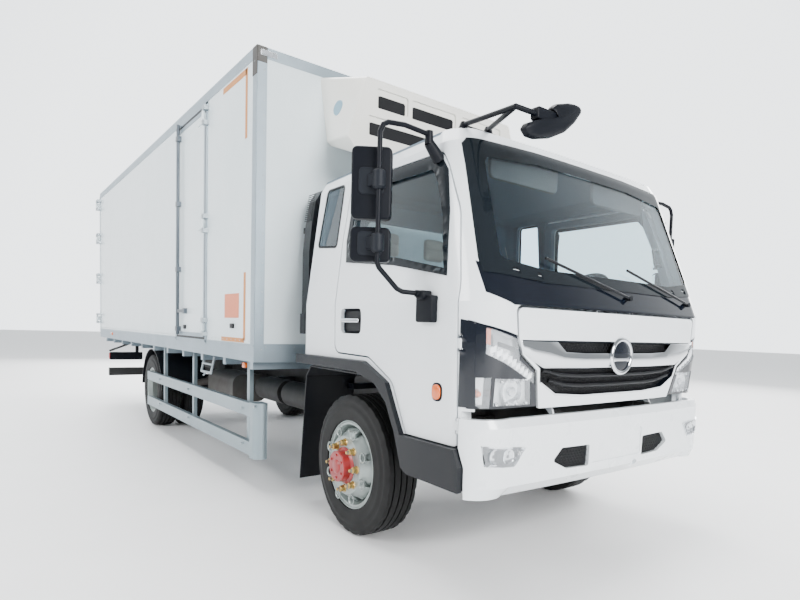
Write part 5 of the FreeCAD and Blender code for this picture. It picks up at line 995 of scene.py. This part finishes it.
# Side door frame: an aluminium rebate riveted round the door, the door's own edge strips with a rubber
# seal between the two, and two black catches on the wall.
made("side_door_frame", bars(-1207, -1200, (-2941, -2906, 1062, 3036), (-2048, -2012, 1062, 3036),
    (-2941, -2012, 3016, 3036), (-2941, -2012, 1072, 1094)), edge_silver, "chassis")
made("side_door_edges", bars(-1204, -1200.4, (-2888, -2850, 1112, 2998), (-2102, -2068, 1112, 2998),
    (-2888, -2068, 2964, 2998), (-2888, -2068, 1112, 1146)), edge_silver, "side_door")
made("side_door_seal", bars(-1205, -1200.4, (-2906, -2888, 1094, 3016), (-2068, -2048, 1094, 3016),
    (-2888, -2068, 2998, 3016), (-2888, -2068, 1094, 1112)), seal_black, "side_door")
catches = [pillow(at(x, -1207, z), (length, 14, 36), 8, 3, Vector((0, -1, 0)))
    for x, z, length in ((-2635, 1192, 56), (-1389, 1218, 66))]
made("wall_catches", joined(*catches), mesh_black, "chassis")

# Reflective tape: amber corner marks on the side walls and one orange panel, stuck on flat.
tape = wear("amber_tape", (0.62, 0.22, 0.02), (0.52, 0.18, 0.015), 0.35, 0.1, strength=0.2, slot="box_white")
cells = tape.place.make("ShaderNodeTexVoronoi", {"Vector": tape.place, "Scale": 240.0}, 0)
tape.set("Base Color", cells.above(0.35, 0.2).mix((0.64, 0.23, 0.02), (0.50, 0.17, 0.012)))
panel_orange = wear("panel_orange", (0.74, 0.20, 0.085), (0.68, 0.18, 0.075), 0.4, 0.1, slot="box_white")
for name, turn in SIDES:
    marks = bars(turn * 1200.2, turn * 1201.2, (-1640, -1150, 2978, 3022), (-1172, -1130, 2540, 3022),
        (-1172, -1130, 1115, 1604), (-1640, -1150, 1100, 1132), bevel=0.2)
    made(f"tape_{name}", marks, tape, "chassis")
    panel = bars(turn * 1200.2, turn * 1201.4, (-1570, -1262, 1278, 1459), bevel=0.2)
    made(f"wall_panel_{name}", panel, panel_orange, "chassis")

# Refrigeration unit: a moulded cream shell bolted to the box's front, black inside its slatted air
# outlets, with a blank oval on each side.
unit_cream = wear("unit_cream", (0.80, 0.79, 0.74), (0.76, 0.75, 0.70), 0.32, 0.10, grain=1400, strength=0.12,
    depth=0.0003, Coat_Weight=0.25, Coat_Roughness=0.2)
dress(unit_cream, "refrigeration_unit")
unit_skin = skin_of("refrigeration_unit")
UNIT_VENTS = ((-565, -343, 2720, 2805), (-279, 94, 2720, 2805), (181, 560, 2720, 2805), (-630, -120, 2530, 2615),
    (-60, 330, 2530, 2615), (390, 630, 2530, 2615))
liners, blades = [], []
for y0, y1, z0, z1 in UNIT_VENTS:
    liners.append(laid(box_of(y0, y1, z0, z1), "x", unit_skin, 2, 3, 0.2, 12))
    x = (front_hit(unit_skin, (y0 + y1) / 2, (z0 + z1) / 2).x - front_axle_x) * 1000
    blades += [slat((x + 4, y0 + 4, z), (x + 26, y1 - 4, z + 3), 0.8) for z in range(z0 + 14, z1 - 4, 18)]
made("unit_vent_liners", joined(*liners), mesh_black, "chassis")
made("unit_vent_blades", joined(*blades), mesh_black, "chassis")
oval_blue = wear("oval_blue", (0.20, 0.36, 0.46), (0.16, 0.30, 0.40), 0.3, 0.1, grain=400, slot="unit_cream")
for name, turn in SIDES:
    spot, lean = unit_skin.ray_cast(at(-720, turn * 2000, 2760), Vector((0, -turn, 0)))[:2]
    bm = bmesh.new()
    bmesh.ops.create_cone(bm, cap_ends=True, segments=40, radius1=0.052, radius2=0.048, depth=0.006,
        matrix=Matrix.Translation(spot) @ lean.to_track_quat("Z", "Y").to_matrix().to_4x4())
    for vert in bm.verts:
        vert.co += AHEAD * (vert.co - spot).x * 0.35
    made(f"unit_oval_{name}", bm, oval_blue, "chassis")

# Side guards and tail: hexagon bolts on the guards' posts, amber side lamps, a small step frame under the
# side door, stays from the frame to the tail lamps, and the lamps' red and amber lenses.
bm = bmesh.new()
for turn in (1, -1):
    rod(bm, *path(turn, (-1090, 1142, 640), (-1090, 1149, 640)), 12, None, 6)
    for x in (-1350, -2770, -3840):
        for z in (330, 600):
            rod(bm, *path(turn, (x, 1129, z), (x, 1146, z)), 9, None, 6)
made("guard_bolts", bm, zinc, "chassis")
MARKERS = ((-1350, 1122, 925, (58, 18, 40), 5), (-6200, 1207, 1040, (90, 12, 38), 4))
markers = [pillow(at(x, turn * y, z), size, 8, edge, Vector((0, turn, 0))) for turn in (1, -1)
    for x, y, z, size, edge in MARKERS]
made("side_markers", joined(*markers), amber, "chassis")
step = bmesh.new()
tube(step, path(-1, (-2310, 1120, 950), (-2310, 1150, 810), (-2050, 1150, 810), (-2050, 1120, 950)), 11, 10)
tube(step, path(-1, (-2310, 1140, 880), (-2050, 1140, 880)), 9, 10)
tube(step, path(-1, (-2180, 1150, 810), (-2180, 1175, 780)), 8, 10)
made("side_step", step, zinc, "chassis")
stays = bmesh.new()
for turn in (-1, 1):
    rod(stays, *path(turn, (-7075, 1095, 760), (-6750, 700, 960)), 16, None, 10)
made("lamp_stays", stays, frame_black_and_shade, "chassis")
for name, turn in SIDES:
    for piece, near, far, look in (("red", 800, 1075, red_lens), ("amber", 655, 790, amber)):
        lens = bars(turn * near, turn * far, (-7144, -7136, 632, 728), bevel=3)
        made(f"tail_{piece}_{name}", lens, look, "chassis")
    side_lamp = pillow(at(-7110, turn * 1094, 680), (50, 10, 90), 6, 3, Vector((0, turn, 0)))
    made(f"tail_side_{name}", side_lamp, red_lens, "chassis")

# Interior: folded visors, a grab handle screwed to the left pillar, and fabric seats on grey plinths,
# whose cushions are stuffed, sewn in channels and piped.
trim_grey = wear("trim_grey", (0.13, 0.13, 0.13), (0.10, 0.10, 0.10), 0.7, 0.1, grain=900, strength=0.4,
    slot="fascia_grey")
visors = joined(*[pillow(at(800, y, 2090), (22, 520, 150), 30, 8) for y in (-420, 420)])
made("sun_visors", visors, trim_grey, "cab")
grab = bmesh.new()
tube(grab, path(1, (905, 800, 1700), (880, 765, 1706), (862, 760, 1800), (872, 795, 1812)), 10, 10)
made("grab_handle", grab, trim_grey, "cab")
seat_cloth = wear("seat_cloth", (0.46, 0.43, 0.38), (0.40, 0.37, 0.33), 0.85, 0.1, grain=900, strength=0.5,
    Sheen_Weight=0.3, slot="seat_cloth")
warp = seat_cloth.place.stretched(1, 0, 0).make("ShaderNodeTexWave", {"Scale": 130.0, "Distortion": 0.0}, 1)
THREADS = {"Vector": seat_cloth.place, "Scale": 130.0, "Distortion": 0.0}
weft = seat_cloth.place.make("ShaderNodeTexWave", THREADS, 1, bands_direction="Z")
seat_cloth.set("Normal", (warp * 0.5 + weft * 0.5 + seat_cloth.place.noise(500.0, 2.0)).relief(0.5, 0.0012))
piping_cloth = wear("piping_cloth", (0.12, 0.12, 0.12), (0.09, 0.09, 0.09), 0.8, 0.1, grain=900, strength=0.4,
    slot="seat_cloth")
PAD_VOXEL, PAD_STEPS, PAD_CAP, PAD_INSET = 0.009, 14, 0.014, 0.012
GROOVE_HALF, GROOVE_DEPTH = 0.012, 0.007


def cushion(name, low, high, corner, grooves):
    """A stuffed pad between two corners: a rounded block filled by cloth pressure, its crown kept within
    the cap, with sewn channels pressed in across it at the given places."""
    inset = Vector((PAD_INSET, PAD_INSET, PAD_INSET))
    near, far = at(*low) + inset, at(*high) - inset
    bm = cuboid((far + near) / 2, far - near)
    bevelled(bm, bm.edges[:], corner, 3)
    pad = solid_copy(bm, name)
    bpy.context.view_layer.objects.active = pad
    pad.data.remesh_voxel_size = PAD_VOXEL
    bpy.ops.object.select_all(action="DESELECT")
    pad.select_set(True)
    bpy.ops.object.voxel_remesh()
    before = [vert.co.copy() for vert in pad.data.vertices]
    cloth = pad.modifiers.new("filling", "CLOTH")
    cloth.settings.use_pressure = True
    cloth.settings.uniform_pressure_force = 4
    cloth.settings.effector_weights.gravity = 0
    cloth.settings.quality = 3
    cloth.point_cache.frame_end = PAD_STEPS
    for step in range(1, PAD_STEPS + 1):
        bpy.context.scene.frame_set(step)
    graph = bpy.context.evaluated_depsgraph_get()
    swollen = [vert.co.copy() for vert in pad.evaluated_get(graph).data.vertices]
    pad.modifiers.remove(cloth)
    bpy.context.scene.frame_set(1)
    for vert, start, end in zip(pad.data.vertices, before, swollen):
        move = end - start
        vert.co = start + move * min(1, PAD_CAP / max(move.length, 1e-9))
    axis, places, faces_up = grooves
    for vert in pad.data.vertices:
        near_groove = min(abs(vert.co[axis] - place) for place in places)
        if near_groove < GROOVE_HALF and vert.co.dot(faces_up) > ((near + far) / 2).dot(faces_up):
            vert.co -= faces_up * GROOVE_DEPTH * (1 - near_groove / GROOVE_HALF)
    mesh = pad.data
    bpy.data.objects.remove(pad)
    bm = bmesh.new()
    bm.from_mesh(mesh)
    piece = made(name, bm, seat_cloth, "cab", sharp=60)
    smooth = piece.modifiers.new("smooth", "SUBSURF")
    smooth.levels = smooth.render_levels = 1
    return piece


for name, y0, y1, heads in (("driver", 190, 670, ((330, 530),)), ("bench", -680, 60, ((-610, -410), (-210, -10)))):
    channels = [y / 1000 for y in range(y0 + 110, y1 - 60, 130)]
    squab = cushion(f"seat_{name}_squab", (-320, y0, 1106), (262, y1, 1262), 45, (1, channels, UP))
    cushion(f"seat_{name}_back", (-404, y0 + 12, 1262), (-300, y1 - 12, 1700), 40, (1, channels, AHEAD))
    if name == "driver":
        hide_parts("seats")
    for k, (h0, h1) in enumerate(heads):
        cushion(f"seat_{name}_head_{k}", (-398, h0, 1716), (-318, h1, 1896), 30, (2, [1.806], AHEAD))
    piping = bmesh.new()
    for y in (y0 + 22, y1 - 22):
        tube(piping, path(1, (-300, y, 1254), (230, y, 1254), (252, y, 1236), (254, y, 1130)), 4, 8)
    tube(piping, path(1, (252, y0 + 22, 1238), (252, y1 - 22, 1238)), 4, 8)
    made(f"seat_{name}_piping", piping, piping_cloth, "cab")
    made(f"seat_{name}_base", slat((-300, y0 + 40, 1070), (220, y1 - 40, 1112), 8), fascia, "cab")
